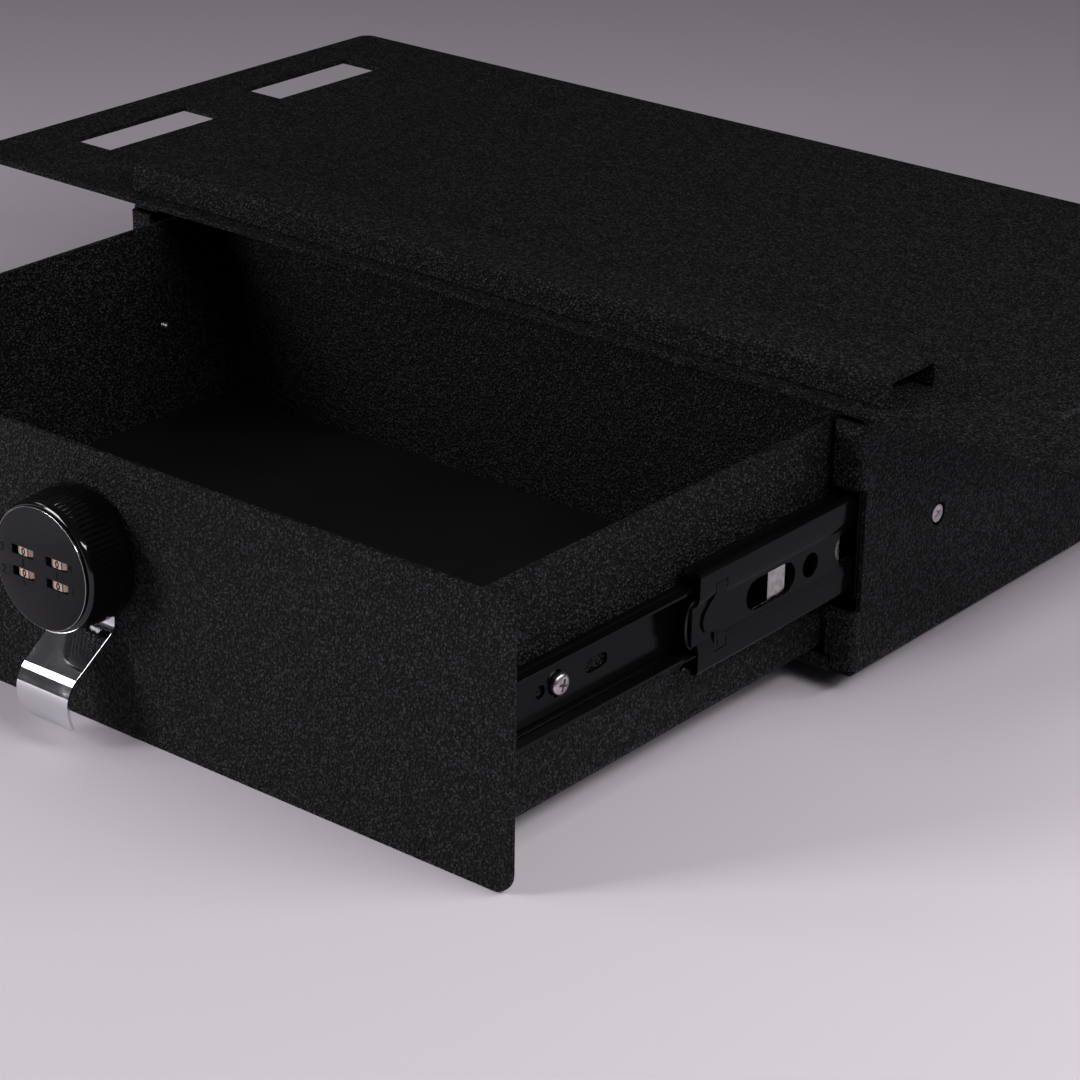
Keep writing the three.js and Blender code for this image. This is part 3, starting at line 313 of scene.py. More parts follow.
def plane_matrix(axis):
    """Turns (a, b, depth) into the frame: across X they are (Y, Z), across Y (X, Z), across Z (X, Y)."""
    order = {"x": ("y", "z", "x"), "y": ("x", "z", "y"), "z": ("x", "y", "z")}[axis]
    columns = [FACING[name] for name in order]
    return Matrix([[column[row] for column in columns] for row in range(3)]).to_4x4()


def prism(outline, axis, start, end):
    """A bmesh solid: a closed outline in the plane across an axis, pushed from start to end."""
    bm = bmesh.new()
    turn = plane_matrix(axis)
    rings = [[bm.verts.new(turn @ Vector((a, b, depth))) for a, b in outline] for depth in (start, end)]
    bm.faces.new(rings[0])
    bm.faces.new(rings[1])
    count = len(outline)
    for i in range(count):
        j = (i + 1) % count
        bm.faces.new((rings[0][i], rings[0][j], rings[1][j], rings[1][i]))
    bmesh.ops.recalc_face_normals(bm, faces=bm.faces)
    return bm


def rectangle(a0, b0, a1, b1):
    """The outline between two opposite corners."""
    return [(a0, b0), (a1, b0), (a1, b1), (a0, b1)]


def lathe(profile, sides, swing=None, closed=False):
    """A bmesh turned about the Y axis from (distance toward -Y, radius) pairs.

    swing(angle, row) takes a depth off the radius, and closed joins the last row to the first.
    """
    bm = bmesh.new()
    rows = []
    for row, (out, radius) in enumerate(profile):
        ring = []
        for i in range(sides):
            angle = 2 * math.pi * i / sides
            reach = radius - (swing(angle, row) if swing else 0)
            ring.append(bm.verts.new((reach * math.cos(angle), -out, reach * math.sin(angle))))
        rows.append(ring)
    pairs = list(zip(rows, rows[1:]))
    if closed:
        pairs.append((rows[-1], rows[0]))
    for near, far in pairs:
        for i in range(sides):
            j = (i + 1) % sides
            bm.faces.new((near[i], near[j], far[j], far[i]))
    bmesh.ops.remove_doubles(bm, verts=bm.verts, dist=1e-5)
    bmesh.ops.dissolve_degenerate(bm, edges=bm.edges, dist=1e-5)
    bmesh.ops.recalc_face_normals(bm, faces=bm.faces)
    return bm


def arc(a, b, radius, start, end, steps):
    """Points on an arc about (a, b), angles in degrees."""
    turns = [math.radians(start + (end - start) * i / steps) for i in range(steps + 1)]
    return [(a + radius * math.cos(t), b + radius * math.sin(t)) for t in turns]


def rounded(corners, radii, steps=6, closed=True):
    """An outline whose corners are turned into arcs."""
    points = [Vector(corner) for corner in corners]
    made = []
    for i, corner in enumerate(points):
        radius = radii[i] if isinstance(radii, (list, tuple)) else radii
        if not radius or (not closed and i in (0, len(points) - 1)):
            made.append(tuple(corner))
            continue
        before = (points[i - 1] - corner).normalized()
        after = (points[(i + 1) % len(points)] - corner).normalized()
        half = before.angle(after) / 2
        centre = corner + (before + after).normalized() * (radius / math.sin(half))
        start = corner + before * (radius / math.tan(half)) - centre
        side = 1 if before.x * after.y - before.y * after.x > 0 else -1
        turn = math.pi - 2 * half
        for step in range(steps + 1):
            angle = -side * turn * step / steps
            arm = Matrix.Rotation(angle, 2) @ start
            made.append(tuple(centre + arm))
    return made


def ribbon(path, thickness):
    """The closed outline of a sheet of even thickness along a path."""
    points = [Vector(point) for point in path]
    sides = [[], []]
    for i, point in enumerate(points):
        back = (point - points[i - 1]).normalized() if i else None
        ahead = (points[i + 1] - point).normalized() if i + 1 < len(points) else None
        along = ((back or Vector((0, 0))) + (ahead or Vector((0, 0)))).normalized()
        normal = Vector((-along.y, along.x))
        mitre = Vector((-back.y, back.x)).dot(normal) if back else 1
        for side, sign in zip(sides, (1, -1)):
            side.append(tuple(point + normal * (sign * thickness / 2 / mitre)))
    return sides[0] + sides[1][::-1]


def as_object(name, bm, where=None):
    """A scene object from a bmesh drawn in millimetres."""
    if where is not None:
        bm.transform(where)
    bm.transform(Matrix.Scale(MM, 4))
    mesh = bpy.data.meshes.new(name)
    bm.to_mesh(mesh)
    bm.free()
    made = bpy.data.objects.new(name, mesh)
    bpy.context.scene.collection.objects.link(made)
    return made


def settle(target):
    """Applies the object's modifiers to its mesh."""
    graph = bpy.context.evaluated_depsgraph_get()
    mesh = bpy.data.meshes.new_from_object(target.evaluated_get(graph))
    target.modifiers.clear()
    old = target.data
    target.data = mesh
    bpy.data.meshes.remove(old)


def combine(target, tools, operation, use_self=False):
    """Cuts or joins an object with others, which are used up; use_self is for a tool that crosses itself."""
    for tool in tools:
        modifier = target.modifiers.new("boolean", "BOOLEAN")
        modifier.operation = operation
        modifier.solver = "EXACT"
        modifier.use_self = use_self
        modifier.object = tool
        bpy.context.view_layer.update()
        settle(target)
        used = tool.data
        bpy.data.objects.remove(tool)
        bpy.data.meshes.remove(used)


def bevel_mesh(target, width, segments, angle):
    """Bevels the edges sharper than an angle straight into the mesh; width in millimetres."""
    bevel = target.modifiers.new("edges", "BEVEL")
    bevel.width = width * MM
    bevel.segments = segments
    bevel.limit_method = "ANGLE"
    bevel.angle_limit = math.radians(angle)
    bpy.context.view_layer.update()
    settle(target)


def round_edges(target, width, segments=2, angle=35):
    """Rounds the sharp edges by that many millimetres and keeps the flats flat."""
    bevel = target.modifiers.new("rounded_edges", "BEVEL")
    bevel.width = width * MM
    bevel.segments = segments
    bevel.limit_method = "ANGLE"
    bevel.angle_limit = math.radians(angle)
    bevel.use_clamp_overlap = True
    bevel.miter_outer = "MITER_ARC"
    shade = target.modifiers.new("even_normals", "WEIGHTED_NORMAL")
    shade.keep_sharp = True
    shade.weight = 80


def dress(target, finishes, body, stands_for, angle, edge=None):
    """Finishes a new piece: materials, shading, rounded edges, its body and the nodes that it stands for."""
    for finish in finishes:
        target.data.materials.append(finish)
    for face in target.data.polygons:
        face.use_smooth = True
    target.data.set_sharp_from_angle(angle=math.radians(angle))
    if edge:
        target.data.update()
        round_edges(target, edge, angle=angle)
    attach(target, body)
    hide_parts(*stands_for)


def smooth_by_angle(degrees):
    """A node group that welds a mesh, smooths its faces and keeps edges over an angle sharp."""
    tree = bpy.data.node_groups.new("smooth_by_angle", "GeometryNodeTree")
    tree.interface.new_socket("Geometry", in_out="INPUT", socket_type="NodeSocketGeometry")
    tree.interface.new_socket("Geometry", in_out="OUTPUT", socket_type="NodeSocketGeometry")
    source = add(tree, "NodeGroupInput")
    bare = add(tree, "GeometryNodeRemoveAttribute", {"Geometry": (source, 0), "Name": "custom_normal"})
    welded = add(tree, "GeometryNodeMergeByDistance", {"Geometry": (bare, 0), "Distance": 0.001 * MM})
    smooth = add(tree, "GeometryNodeSetShadeSmooth", {"Geometry": (welded, 0), "Shade Smooth": True},
                 domain="FACE")
    edge = add(tree, "GeometryNodeInputMeshEdgeAngle")
    steep = add(tree, "FunctionNodeCompare", {0: (edge, 0), 1: math.radians(degrees)},
                operation="GREATER_THAN")
    sharp = add(tree, "GeometryNodeSetShadeSmooth",
                {"Geometry": (smooth, 0), "Selection": (steep, 0), "Shade Smooth": False}, domain="EDGE")
    add(tree, "NodeGroupOutput", {0: (sharp, 0)})
    return tree


SMOOTH = smooth_by_angle(35)


def refine(name, finish, edge, segments=2):
    """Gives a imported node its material, smooth bends and rounded edges."""
    target = nodes[name]
    target.data.materials.clear()
    target.data.materials.append(finish)
    shading = target.modifiers.new("smooth_bends", "NODES")
    shading.node_group = SMOOTH
    round_edges(target, edge, segments)


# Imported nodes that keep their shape

for name, edge in (
    ("housing_shell", 0.6),
    ("housing_rear_panel", 0.6),
    ("top_plate", 0.7),
    ("top_channel", 0.7),
    ("drawer_tray", 0.6),
    ("drawer_front", 0.7),
):
    refine(name, COAT, edge, 3)
refine("floor_liner", MAT, 0.8, 3)
refine("lock_cam", ZINC, 0.3)
refine("wheel_frame", SLIDE_STEEL, 0.2)
refine("lock_spindle", ZINC, 0.2)
for side in ("left", "right"):
    for member in ("outer", "mid", "inner"):
        refine(f"slide_{member}_{side}", SLIDE_STEEL, 0.2)
    refine(f"ball_cage_inner_{side}", ZINC, 0.08)
    refine(f"ball_cage_outer_{side}", ZINC, 0.08)
    refine(f"wheel_axle_{side}", ZINC, 0.15)

# The lock

AT_LOCK = Matrix.Translation(LOCK)


def knob():
    """The knob: a cup with a rounded front, a smooth band, ribs between grooves and a collar behind them."""
    rib_rear = KNOB_REAR + 4.8
    rib_front = KNOB_FRONT - 2.9
    groove_depth = 0.5
    # The flat crest's share of each rib's width
    crest = 0.42
    narrow = KNOB_NARROW_RADIUS
    front_bore, rear_bore, drive_hole = 21.0, 17.6, 4.2
    web_rear, web_front = 5.2, 7.2

    # Rows of distance, radius and whether the grooves cut into the row
    rows = [(KNOB_REAR, 25.2, 0), (KNOB_REAR + 0.25, 25.75, 0), (KNOB_REAR + 0.8, KNOB_RADIUS, 0),
            (rib_rear, KNOB_RADIUS - 0.1, 0)]
    for i in range(6):
        out = rib_rear + (rib_front - rib_rear) * i / 5
        rows.append((out, KNOB_RADIUS - 0.1 + (narrow - KNOB_RADIUS + 0.1) * i / 5, 1))
    rows += [(rib_front, narrow, 0), (KNOB_FRONT - 1.5, narrow - 0.05, 0),
             (KNOB_FRONT - 0.8, narrow - 0.25, 0), (KNOB_FRONT - 0.35, narrow - 0.65, 0),
             (KNOB_FRONT - 0.1, narrow - 1.15, 0), (KNOB_FRONT, KNOB_FACE_RADIUS, 0)]
    rows += [(KNOB_FRONT, front_bore + 0.3, 0), (KNOB_FRONT - 0.3, front_bore, 0), (web_front, front_bore, 0),
             (web_front, drive_hole, 0), (web_rear, drive_hole, 0), (web_rear, rear_bore, 0),
             (KNOB_REAR, rear_bore, 0)]

    def swing(angle, row):
        """How far a groove goes in: nothing on a rib's crest, then ever steeper to the groove's middle."""
        phase = (angle * RIBS / (2 * math.pi)) % 1
        fall = max(0.0, abs(2 * phase - 1) - crest) / (1 - crest)
        return groove_depth * rows[row][2] * fall ** 2

    bm = lathe([(out, radius) for out, radius, _ in rows], RIBS * 10, swing, closed=True)
    made = as_object("knob", bm, AT_LOCK)
    dress(made, [ENAMEL], "knob", ["knob_body"], angle=50)


knob()


def wheel_places():
    """The middles of the four wheels and windows as (x, z) from the lock's axis."""
    return [(sx * WHEEL_PITCH_X / 2, sz * WHEEL_PITCH_Z / 2) for sz in (1, -1) for sx in (-1, 1)]


def glyph(text, height, thickness, weight=0.0):
    """A character as a flat solid in the XZ plane, facing -Y and centred.

    The height and the weight that is added to the strokes are in millimetres.
    """
    curve = bpy.data.curves.new("glyph", "FONT")
    curve.body = text
    curve.size = height * FONT_SIZE_PER_HEIGHT
    curve.offset = weight
    curve.align_x = "CENTER"
    curve.align_y = "CENTER"
    curve.extrude = thickness / 2
    curve.resolution_u = 3
    holder = bpy.data.objects.new("glyph", curve)
    bpy.context.scene.collection.objects.link(holder)
    graph = bpy.context.evaluated_depsgraph_get()
    mesh = bpy.data.meshes.new_from_object(holder.evaluated_get(graph))
    bm = bmesh.new()
    bm.from_mesh(mesh)
    bpy.data.objects.remove(holder)
    bpy.data.curves.remove(curve)
    bpy.data.meshes.remove(mesh)
    x, y = ((min(v.co[i] for v in bm.verts) + max(v.co[i] for v in bm.verts)) / 2 for i in (0, 1))
    bm.transform(Matrix.Rotation(math.pi / 2, 4, "X") @ Matrix.Translation((-x, -y, 0)))
    return bm


def pour(bm, other, where, finish):
    """Adds another bmesh to one, moved and with a material number."""
    other.transform(where)
    start = len(bm.faces)
    mesh = bpy.data.meshes.new("pour")
    other.to_mesh(mesh)
    other.free()
    bm.from_mesh(mesh)
    bpy.data.meshes.remove(mesh)
    bm.faces.ensure_lookup_table()
    for face in bm.faces[start:]:
        face.material_index = finish


def face_plate():
    """The lock's round face with four windows, plain index marks and a polished rim."""
    rim = KNOB_FACE_RADIUS
    chamfer = 0.18
    half_width, half_height = 5.5, 1.8
    ink = 0.08
    profile = [(FACE_BACK, 0), (FACE_BACK, rim - 0.1), (FACE_BACK + 0.1, rim), (FACE_FRONT - chamfer, rim),
               (FACE_FRONT - 0.05, rim - 0.05), (FACE_FRONT, rim - chamfer), (FACE_FRONT, 0)]
    made = as_object("lock_face", lathe(profile, 192), AT_LOCK)
    windows = []
    for x, z in wheel_places():
        corners = rectangle(x - half_width, z - half_height, x + half_width, z + half_height)
        outline = rounded(corners, 0.3, 3)
        windows.append(as_object("window", prism(outline, "y", -FACE_FRONT - 1, -FACE_BACK + 1), AT_LOCK))
    combine(made, windows, "DIFFERENCE")
    made.data.materials.clear()
    bm = bmesh.new()
    bm.from_mesh(made.data)
    bm.transform(Matrix.Scale(1 / MM, 4))
    bm.transform(AT_LOCK.inverted())
    for face in bm.faces:
        centre = face.calc_center_median()
        turned = -0.999 < face.normal.y < -0.2 and math.hypot(centre.x, centre.z) > rim - 0.3
        face.material_index = 1 if turned else 0
    marks = [("3", -19.4, 3.3, 3.4), ("2", -19.0, -5.2, 3.4), ("4", 15.6, 4.8, 3.4), ("1", 16.6, -3.6, 3.6)]
    for text, x, z, height in marks:
        pour(bm, glyph(text, height, ink, 0.04), Matrix.Translation((x, -FACE_FRONT, z)), 2)
    for x in (-WHEEL_PITCH_X / 2, WHEEL_PITCH_X / 2):
        bar = rectangle(x - 0.5, -1.45, x + 0.5, 1.45)
        tick = [(x - 0.7, -7.0), (x + 0.1, -7.0), (x + 1.1, -8.7), (x + 0.3, -8.7)]
        for outline in (bar, tick):
            mark = prism(outline, "y", -ink / 2, ink / 2)
            pour(bm, mark, Matrix.Translation((0, -FACE_FRONT, 0)), 2)
    bm.transform(AT_LOCK)
    bm.transform(Matrix.Scale(MM, 4))
    bm.to_mesh(made.data)
    bm.free()
    dress(made, [FACE, RIM, INK], "knob", ["knob_face"], angle=25)


face_plate()


def number_wheels():
    """Ten-sided wheels, notched between the flats, with a digit on each flat and the zero to the front."""
    notch, notch_depth = 0.3, 1.0
    hub_radius, bore_radius = 2.6, 1.3
    inner, outer = WHEEL_PITCH_Z / 2 - 0.15, 3.9
    half = WHEEL_APOTHEM * math.tan(math.pi / DIGITS) - notch
    flat = [Vector((-half, notch_depth - WHEEL_APOTHEM)), Vector((-half, -WHEEL_APOTHEM)),
            Vector((half, -WHEEL_APOTHEM)), Vector((half, notch_depth - WHEEL_APOTHEM))]
    turns = [2 * math.pi * i / DIGITS for i in range(DIGITS)]
    outline = [tuple(Matrix.Rotation(turn, 2) @ point) for turn in turns for point in flat]
    for index, (x, z) in enumerate(wheel_places(), 1):
        where = AT_LOCK @ Matrix.Translation((x, -WHEEL_OUT, z))
        drum = prism(outline, "z", -WHEEL_HEIGHT / 2, WHEEL_HEIGHT / 2)
        made = as_object(f"digit_wheel_{index}", drum, where)
        low, high = (-inner, outer) if z > 0 else (-outer, inner)
        hub = as_object("hub", prism(arc(0, 0, hub_radius, 0, 352.5, 47), "z", low, high), where)
        bore = as_object("bore", prism(arc(0, 0, bore_radius, 0, 345, 23), "z", -9, 9), where)
        combine(made, [hub], "UNION")
        combine(made, [bore], "DIFFERENCE")
        bevel_mesh(made, 0.18, 2, 28)
        bm = bmesh.new()
        bm.from_mesh(made.data)
        bm.transform(Matrix.Scale(1 / MM, 4))
        for digit, turn in enumerate(turns):
            spot = where @ Matrix.Rotation(turn, 4, "Z") @ Matrix.Translation((0, -WHEEL_APOTHEM, 0))
            pour(bm, glyph(str(digit), 2.6, 0.06, 0.13), spot, 1)
        bm.transform(Matrix.Scale(MM, 4))
        bm.to_mesh(made.data)
        bm.free()
        dress(made, [CREAM, INK], f"wheel_{index}", [f"number_wheel_{index}"], angle=20)


number_wheels()


def barrel():
    """The lock's barrel: a flange behind the knob and a fine thread for the nut."""
    thread_start, pitch, turns = -16.9, 1.0, 13
    root, crest, bore = 8.95, 9.5, 5.0
    profile = [(1.8, crest), (1.8, 16.7), (2.1, 17.0), (4.0, 17.0), (4.3, 16.7), (4.3, 7.3), (3.4, 7.3),
               (3.4, bore), (-17.5, bore), (-17.5, 8.6), (thread_start, 9.2)]
    for i in range(turns):
        base = thread_start + i * pitch
        profile += [(base + 0.25, root), (base + 0.5, crest), (base + 0.75, crest), (base + 1.0, root)]
    profile += [(-2.6, crest)]
    made = as_object("barrel", lathe(profile, 96, closed=True), AT_LOCK)
    dress(made, [SLIDE_STEEL], "drawer", ["lock_barrel"], angle=30)


barrel()


def nut():
    """A hexagon nut with both faces chamfered."""
    across, front, height = 24, -2.3, 5
    bore, bore_mouth = 9.8, 10.3
    back = front - height
    corner = across / math.sqrt(3)
    outline = [(corner * math.cos(math.pi * i / 3), corner * math.sin(math.pi * i / 3)) for i in range(6)]
    made = as_object("hex_nut", prism(outline, "y", -front, -front + height), AT_LOCK)
    lens = [(front + 0.01, 0), (front + 0.01, across / 2 - 0.3), (front - 1.0, corner + 0.2),
            (back + 1.0, corner + 0.2), (back - 0.01, across / 2 - 0.3), (back - 0.01, 0)]
    combine(made, [as_object("lens", lathe(lens, 96), AT_LOCK)], "INTERSECT")
    hole = [(front + 0.1, 0), (front + 0.1, bore_mouth), (front - 0.6, bore), (back + 0.6, bore),
            (back - 0.1, bore_mouth), (back - 0.1, 0)]
    combine(made, [as_object("hole", lathe(hole, 96), AT_LOCK)], "DIFFERENCE")
    dress(made, [ZINC], "drawer", ["lock_nut"], edge=0.15, angle=25)


nut()


def pull_tab():
    """A chrome strip, round at the root, bent out and down to a curled lip."""
    middle, root, lip, sheet = 0.9, 14.4, 13.2, 1.2
    root_drop, slope_out, slope_drop = 27.2, 24, 17.1
    root_bend, lip_bend, hole_radius = 5.2, 11.4, 9.8
    straight, curled, lip_radius = 5.9, 9.9, 20
    bend = (middle + slope_out, -root_drop - slope_drop)
    curl = []
    for i in range(17):
        drop = curled * i / 16
        out = bend[0] - lip_radius + math.sqrt(lip_radius ** 2 - drop ** 2)
        curl.append((out, bend[1] - straight - drop))
    corners = [(middle, root + 1), (middle, -root_drop), bend] + curl
    path = rounded(corners, [0, root_bend, lip_bend] + [0] * len(curl), 20, closed=False)
    strip = ribbon([(-out, up) for out, up in path], sheet)
    made = as_object("chrome_tab", prism(strip, "x", -root - 1, root + 1), AT_LOCK)
    end = curl[-1][1]
    crown = arc(0, 0, root, 0, 180, 40)
    low = rounded([(-root, 0), (-lip, bend[1]), (-lip, end), (lip, end), (lip, bend[1]), (root, 0)],
                  [0, 0, 8, 1.5, 0, 0], 12)
    mask = as_object("mask", prism(crown + low[1:-1], "y", -60, 1.2), AT_LOCK)
    combine(made, [mask], "INTERSECT")
    hole = as_object("hole", prism(arc(0, 0, hole_radius, 0, 356.25, 95), "y", -4, 2), AT_LOCK)
    combine(made, [hole], "DIFFERENCE")
    bevel_mesh(made, 0.26, 1, 40)
    dress(made, [CHROME], "drawer", ["pull_tab"], angle=25)


pull_tab()

# Screws


def cross_point(depth, length):
    """A cross point that narrows inward, standing on the screw's axis with its top at zero."""
    width, taper = 1.05, 0.55
    bm = bmesh.new()
    for turned in (False, True):
        rings = []
        for down, scale in ((-1.0, 1.15), (0.0, 1.0), (depth, taper)):
            a, b = length / 2 * scale, width / 2 * (0.6 + 0.4 * scale)
            corners = [(-a, -b), (a, -b), (a, b), (-a, b)]
            if turned:
                corners = [(y, -x) for x, y in corners]
            rings.append([bm.verts.new((x, down, z)) for x, z in corners])
        bm.faces.new(rings[0])
        bm.faces.new(rings[-1])
        for near, far in zip(rings, rings[1:]):
            for i in range(4):
                j = (i + 1) % 4
                bm.faces.new((near[i], near[j], far[j], far[i]))
    bmesh.ops.recalc_face_normals(bm, faces=bm.faces)
    return bm


def screw(name, where, profile, recess_at, node, body, depth=1.5, length=4.8, spin=0):
    """A turned screw with a cross recess; its head points to -Y before it is placed."""
    turned = where @ Matrix.Rotation(spin, 4, "Y")
    made = as_object(name, lathe(profile, 64), turned)
    sink = turned @ Matrix.Translation((0, -recess_at, 0))
    combine(made, [as_object("cutter", cross_point(depth, length), sink)], "DIFFERENCE", use_self=True)
    dress(made, [ZINC], body, [node], angle=30)


def thread(start, end, root, crest):
    """Rows of a ring thread between two distances."""
    pitch = 0.9
    rows = []
    count = int((end - start) / pitch)
    for i in range(count):
        base = start + i * pitch
        rows += [(base, root), (base + 0.35 * pitch, crest), (base + 0.5 * pitch, crest),
                 (base + 0.85 * pitch, root)]
    return rows


def pan_screw(side, sign, end, y):
    """A pan-headed screw that holds the drawer's slide member to the tray."""
    under = 1.5 + 0.3
    tip = -2.0 - 2.4
    top = under + 2.5
    profile = [(tip, 0), (tip, 1.2), (tip + 0.5, 1.7)] + thread(tip + 0.5, under - 0.4, 1.5, 1.8) + [
        (under, 1.7), (under, 4.15), (under + 0.15, 4.3), (under + 0.9, 4.3), (under + 1.5, 4.1),
        (under + 2.0, 3.6), (under + 2.35, 2.8), (top, 1.6), (top, 0)]
    outward = Matrix.Rotation(sign * math.pi / 2, 4, "Z")
    where = Matrix.Translation((sign * TRAY_HALF, y, SLIDE_Z)) @ outward
    screw(f"pan_screw_{end}_{side}", where, profile, top, f"drawer_screw_{end}_{side}", "drawer",
          spin=0.35 if side == "right" else 1.0)


def flat_screw(side, sign, end, y):
    """A flat-headed screw through the housing's side into the outer slide member."""
    tip = 11.8
    face = 13.3 + 2 - 0.2
    profile = [(tip, 0), (tip, 1.8), (face - 1.4, 1.8), (face - 1.1, 3.0), (face - 0.35, 3.6),
               (face - 0.1, 3.5), (face, 3.2), (face, 0)]
    outward = Matrix.Rotation(sign * math.pi / 2, 4, "Z")
    where = Matrix.Translation((sign * TRAY_HALF, y, SLIDE_Z - HOUSING_SCREW_DROP)) @ outward
    screw(f"flat_screw_{end}_{side}", where, profile, face, f"housing_screw_{end}_{side}", "housing",
          depth=0.6, length=3.8, spin=0.9)


for side, sign in SIDES:
    for end, place in (("front", 0), ("rear", 1)):
        pan_screw(side, sign, end, INNER_FRONT + DRAWER_SCREW_AT + DRAWER_SCREW_PITCH * place)
        flat_screw(side, sign, end, OUTER_FRONT + HOUSING_SCREW_AT + HOUSING_SCREW_PITCH * place)

inward = AT_LOCK @ Matrix.Rotation(math.pi, 4, "Z")
cam_profile = [(12.1, 0), (12.1, 1.6), (20.9, 1.6), (20.9, 4.8), (21.1, 5.0), (21.9, 5.0), (22.6, 4.6),
               (23.1, 3.8), (23.4, 2.4), (23.4, 0)]
screw("cam_bolt", inward, cam_profile, 23.4, "cam_screw", "knob", depth=1.2)

# Slide fittings on the middle members


def slide_place(sign):
    """The frame of one slide: X outward from the tray's side, Z along the slide's height.

    On the left it is half a turn about Y, so shapes that aren't alike above and below are drawn
    upside down there.
    """
    turn = Matrix.Identity(4) if sign > 0 else Matrix.Rotation(math.pi, 4, "Y")
    return Matrix.Translation((sign * TRAY_HALF, 0, SLIDE_Z)) @ turn


def stop_clip(side, sign):
    """A flat spring clip with a round thumb plate and a raised finger, hooked into the member's slots."""
    hook_left, hook_right, rise = MID_FRONT + 9.5, MID_FRONT + 16, 12.8
    disc = MID_FRONT + 8.2
    outline = [(hook_left, rise), (hook_left, 9.5), (hook_left - 3.6, 6.2)]
    outline += arc(disc, 0.3, 5.9, 128, 232, 16)
    outline += [(hook_left - 3.4, -4.4), (hook_left - 0.4, -5.2), (hook_left - 0.4, -rise),
                (hook_right, -rise), (hook_right, -7.6), (hook_right - 2.2, -6.6), (hook_right - 2.2, 6.6),
                (hook_right, 7.6), (hook_right, rise)]
    finger = [(hook_left + 0.5, -6.6), (hook_left + 2.6, -6.2), (hook_left + 4.6, -8.6),
              (hook_left + 4.6, -11.6), (hook_left + 1.6, -11.6), (hook_left + 1.6, -9.4)]
    bm = prism([(a, sign * b) for a, b in outline], "x", 10.3, 10.8)
    pour(bm, prism([(a, sign * b) for a, b in finger], "x", 10.7, 11.0), Matrix.Identity(4), 0)
    made = as_object(f"stop_clip_{side}", bm, slide_place(sign))
    dress(made, [SLIDE_STEEL], f"slide_middle_{side}", [f"mid_clip_{side}"], edge=0.14,
          angle=30)


def bumper(side, sign):
    """A bowed nylon strap in front of the middle member."""
    half, reach, band, back = 9.0, 5.4, 1.3, 6.0
    low, high = 8.2, 8.7
    bow = []
    for i in range(25):
        across = 1 - 2 * i / 24
        depth = math.sqrt(max(0.0, 1 - 0.8 * across * across))
        bow.append((MID_FRONT - reach * depth + band / 2, across * (half - band / 2)))
    path = [(MID_FRONT + back, half - band / 2)] + bow + [(MID_FRONT + back, -half + band / 2)]
    crossbar = rectangle(MID_FRONT + back - band, -half + 0.1, MID_FRONT + back, half - 0.1)
    made = as_object(f"bumper_{side}", prism(ribbon(path, band), "x", low, high), slide_place(sign))
    combine(made, [as_object("bar", prism(crossbar, "x", low, high), slide_place(sign))], "UNION")
    dress(made, [NYLON], f"slide_middle_{side}", [f"mid_bumper_{side}"], edge=0.12, angle=30)


for side, sign in SIDES:
    stop_clip(side, sign)
    bumper(side, sign)

# Floor, lamps and camera


def studio_floor():
    # Matt pale grey paper, the sheet that the safe stands on.
    made, tree, surface, place = material(
        "grey_paper", **{"Base Color": linear("#c7c0c8"), "Roughness": 0.85, "Specular IOR Level": 0.2})
    fibre = add(tree, "ShaderNodeTexNoise", {"Vector": place, "Scale": per_metre(3), "Detail": 4.0})
    bump = add(tree, "ShaderNodeBump", {"Height": (fibre, 0), "Strength": 0.1, "Distance": 0.1 * MM})
    wire(bump, surface, "Normal")
    size, thickness = 12000, 5
    outline = rectangle(-size, -size, size, size)
    sheet = as_object("floor", prism(outline, "z", FLOOR_LEVEL - thickness, FLOOR_LEVEL))
    sheet.data.materials.append(made)


studio_floor()


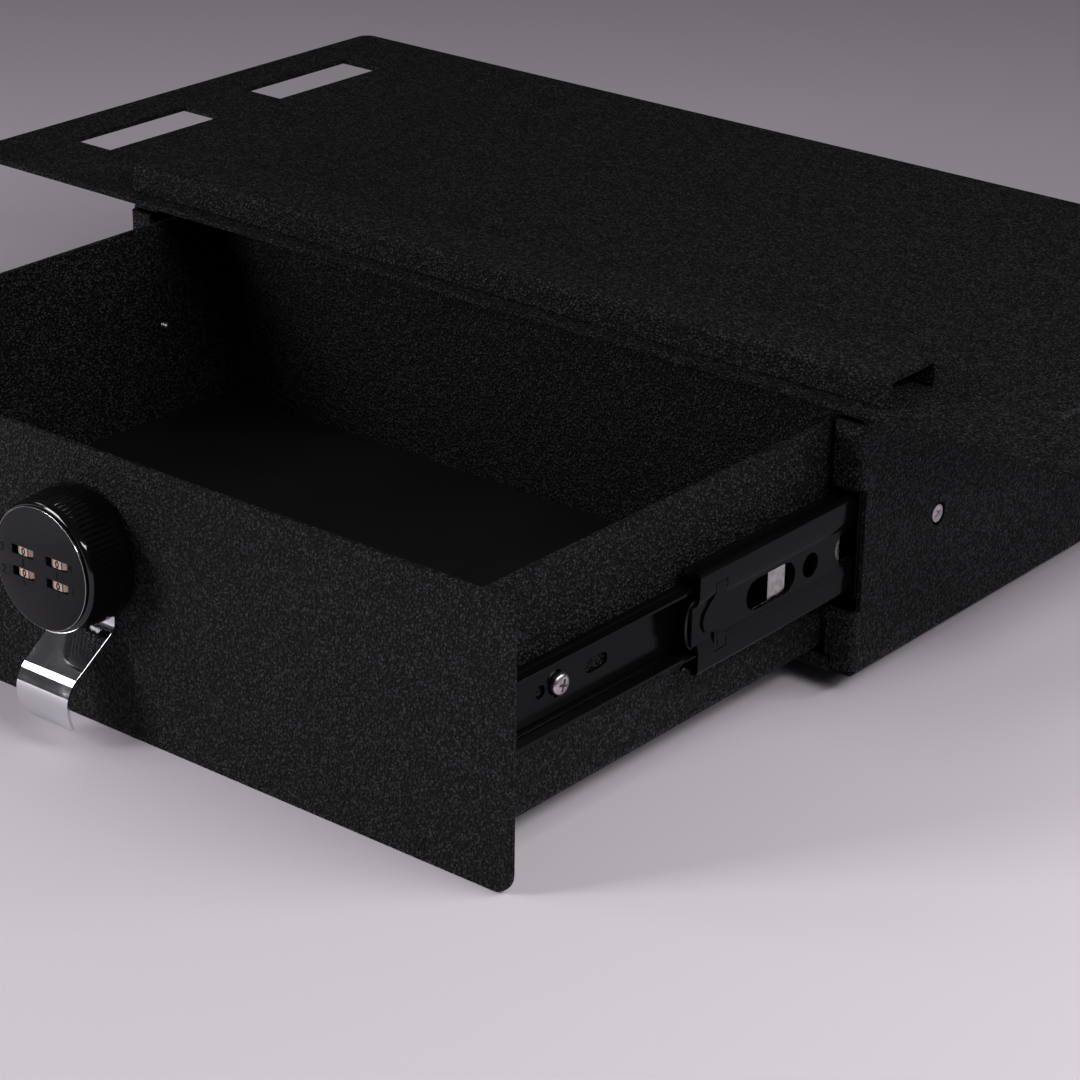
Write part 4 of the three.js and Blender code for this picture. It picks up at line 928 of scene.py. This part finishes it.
def lamp(name, place, aim, size, power, mirrored=True, roll=0):
    """A rectangular white soft box: place and aim in millimetres, size in metres, power in watts.

    Mirrored ones show in gloss. roll turns it about its own axis, in degrees.
    """
    light = bpy.data.lights.new(name, "AREA")
    light.shape = "RECTANGLE"
    light.size, light.size_y = size
    light.energy = power
    made = bpy.data.objects.new(name, light)
    made.location = Vector(place) * MM
    made.rotation_mode = "QUATERNION"
    facing = (Vector(aim) * MM - made.location).to_track_quat("-Z", "Y")
    made.rotation_quaternion = facing @ Quaternion((0, 0, 1), math.radians(roll))
    made.visible_camera = False
    made.visible_glossy = mirrored
    bpy.context.scene.collection.objects.link(made)


lamp("key", (-522, -1232, 450), (0, -250, 0), (0.36, 0.6), 12.3)
lamp("high_strip", (-1019, -953, 942), (0, -350, 0), (0.35, 0.36), 2.2)
lamp("fill", (778, -250, 778), (0, -250, 0), (0.8, 0.8), 4.6, mirrored=False)
lamp("side_strip", (795, -86, 648), (62, -242, 150), (1.1, 0.12), 5.8, roll=-19.7)

world = bpy.data.worlds.new("studio")
bpy.context.scene.world = world
world.use_nodes = True
world.node_tree.nodes.clear()
sky = add(world.node_tree, "ShaderNodeBackground", {"Color": linear("#464447"), "Strength": 1.0})
add(world.node_tree, "ShaderNodeOutputWorld", {"Surface": (sky, 0)})

# The camera, with its focal length and shift in pixels of a picture that many pixels wide

PICTURE_WIDTH = 1080
FOCAL_LENGTH = 3286.56
SHIFT_UP = 1.5
SENSOR_WIDTH = 36

camera_data = bpy.data.cameras.new("camera")
camera_data.sensor_fit = "HORIZONTAL"
camera_data.sensor_width = SENSOR_WIDTH
camera_data.lens = SENSOR_WIDTH * FOCAL_LENGTH / PICTURE_WIDTH
camera_data.shift_y = SHIFT_UP / PICTURE_WIDTH
camera_data.clip_start = 0.05
camera_data.clip_end = 60
camera = bpy.data.objects.new("camera", camera_data)
right = Vector((0.77345922, 0.63370154, 0.01353507))
up = Vector((-0.26552322, 0.30454448, 0.91474045))
forward = Vector((-0.5755504, 0.7111083, -0.4038152))
turn = Matrix((right, up, -forward)).transposed().to_4x4()
camera.matrix_world = Matrix.Translation(Vector((788.17, -1053.9, 539.06)) * MM) @ turn
bpy.context.scene.collection.objects.link(camera)
bpy.context.scene.camera = camera
bpy.context.scene.view_settings.view_transform = "Standard"

bpy.context.view_layer.update()
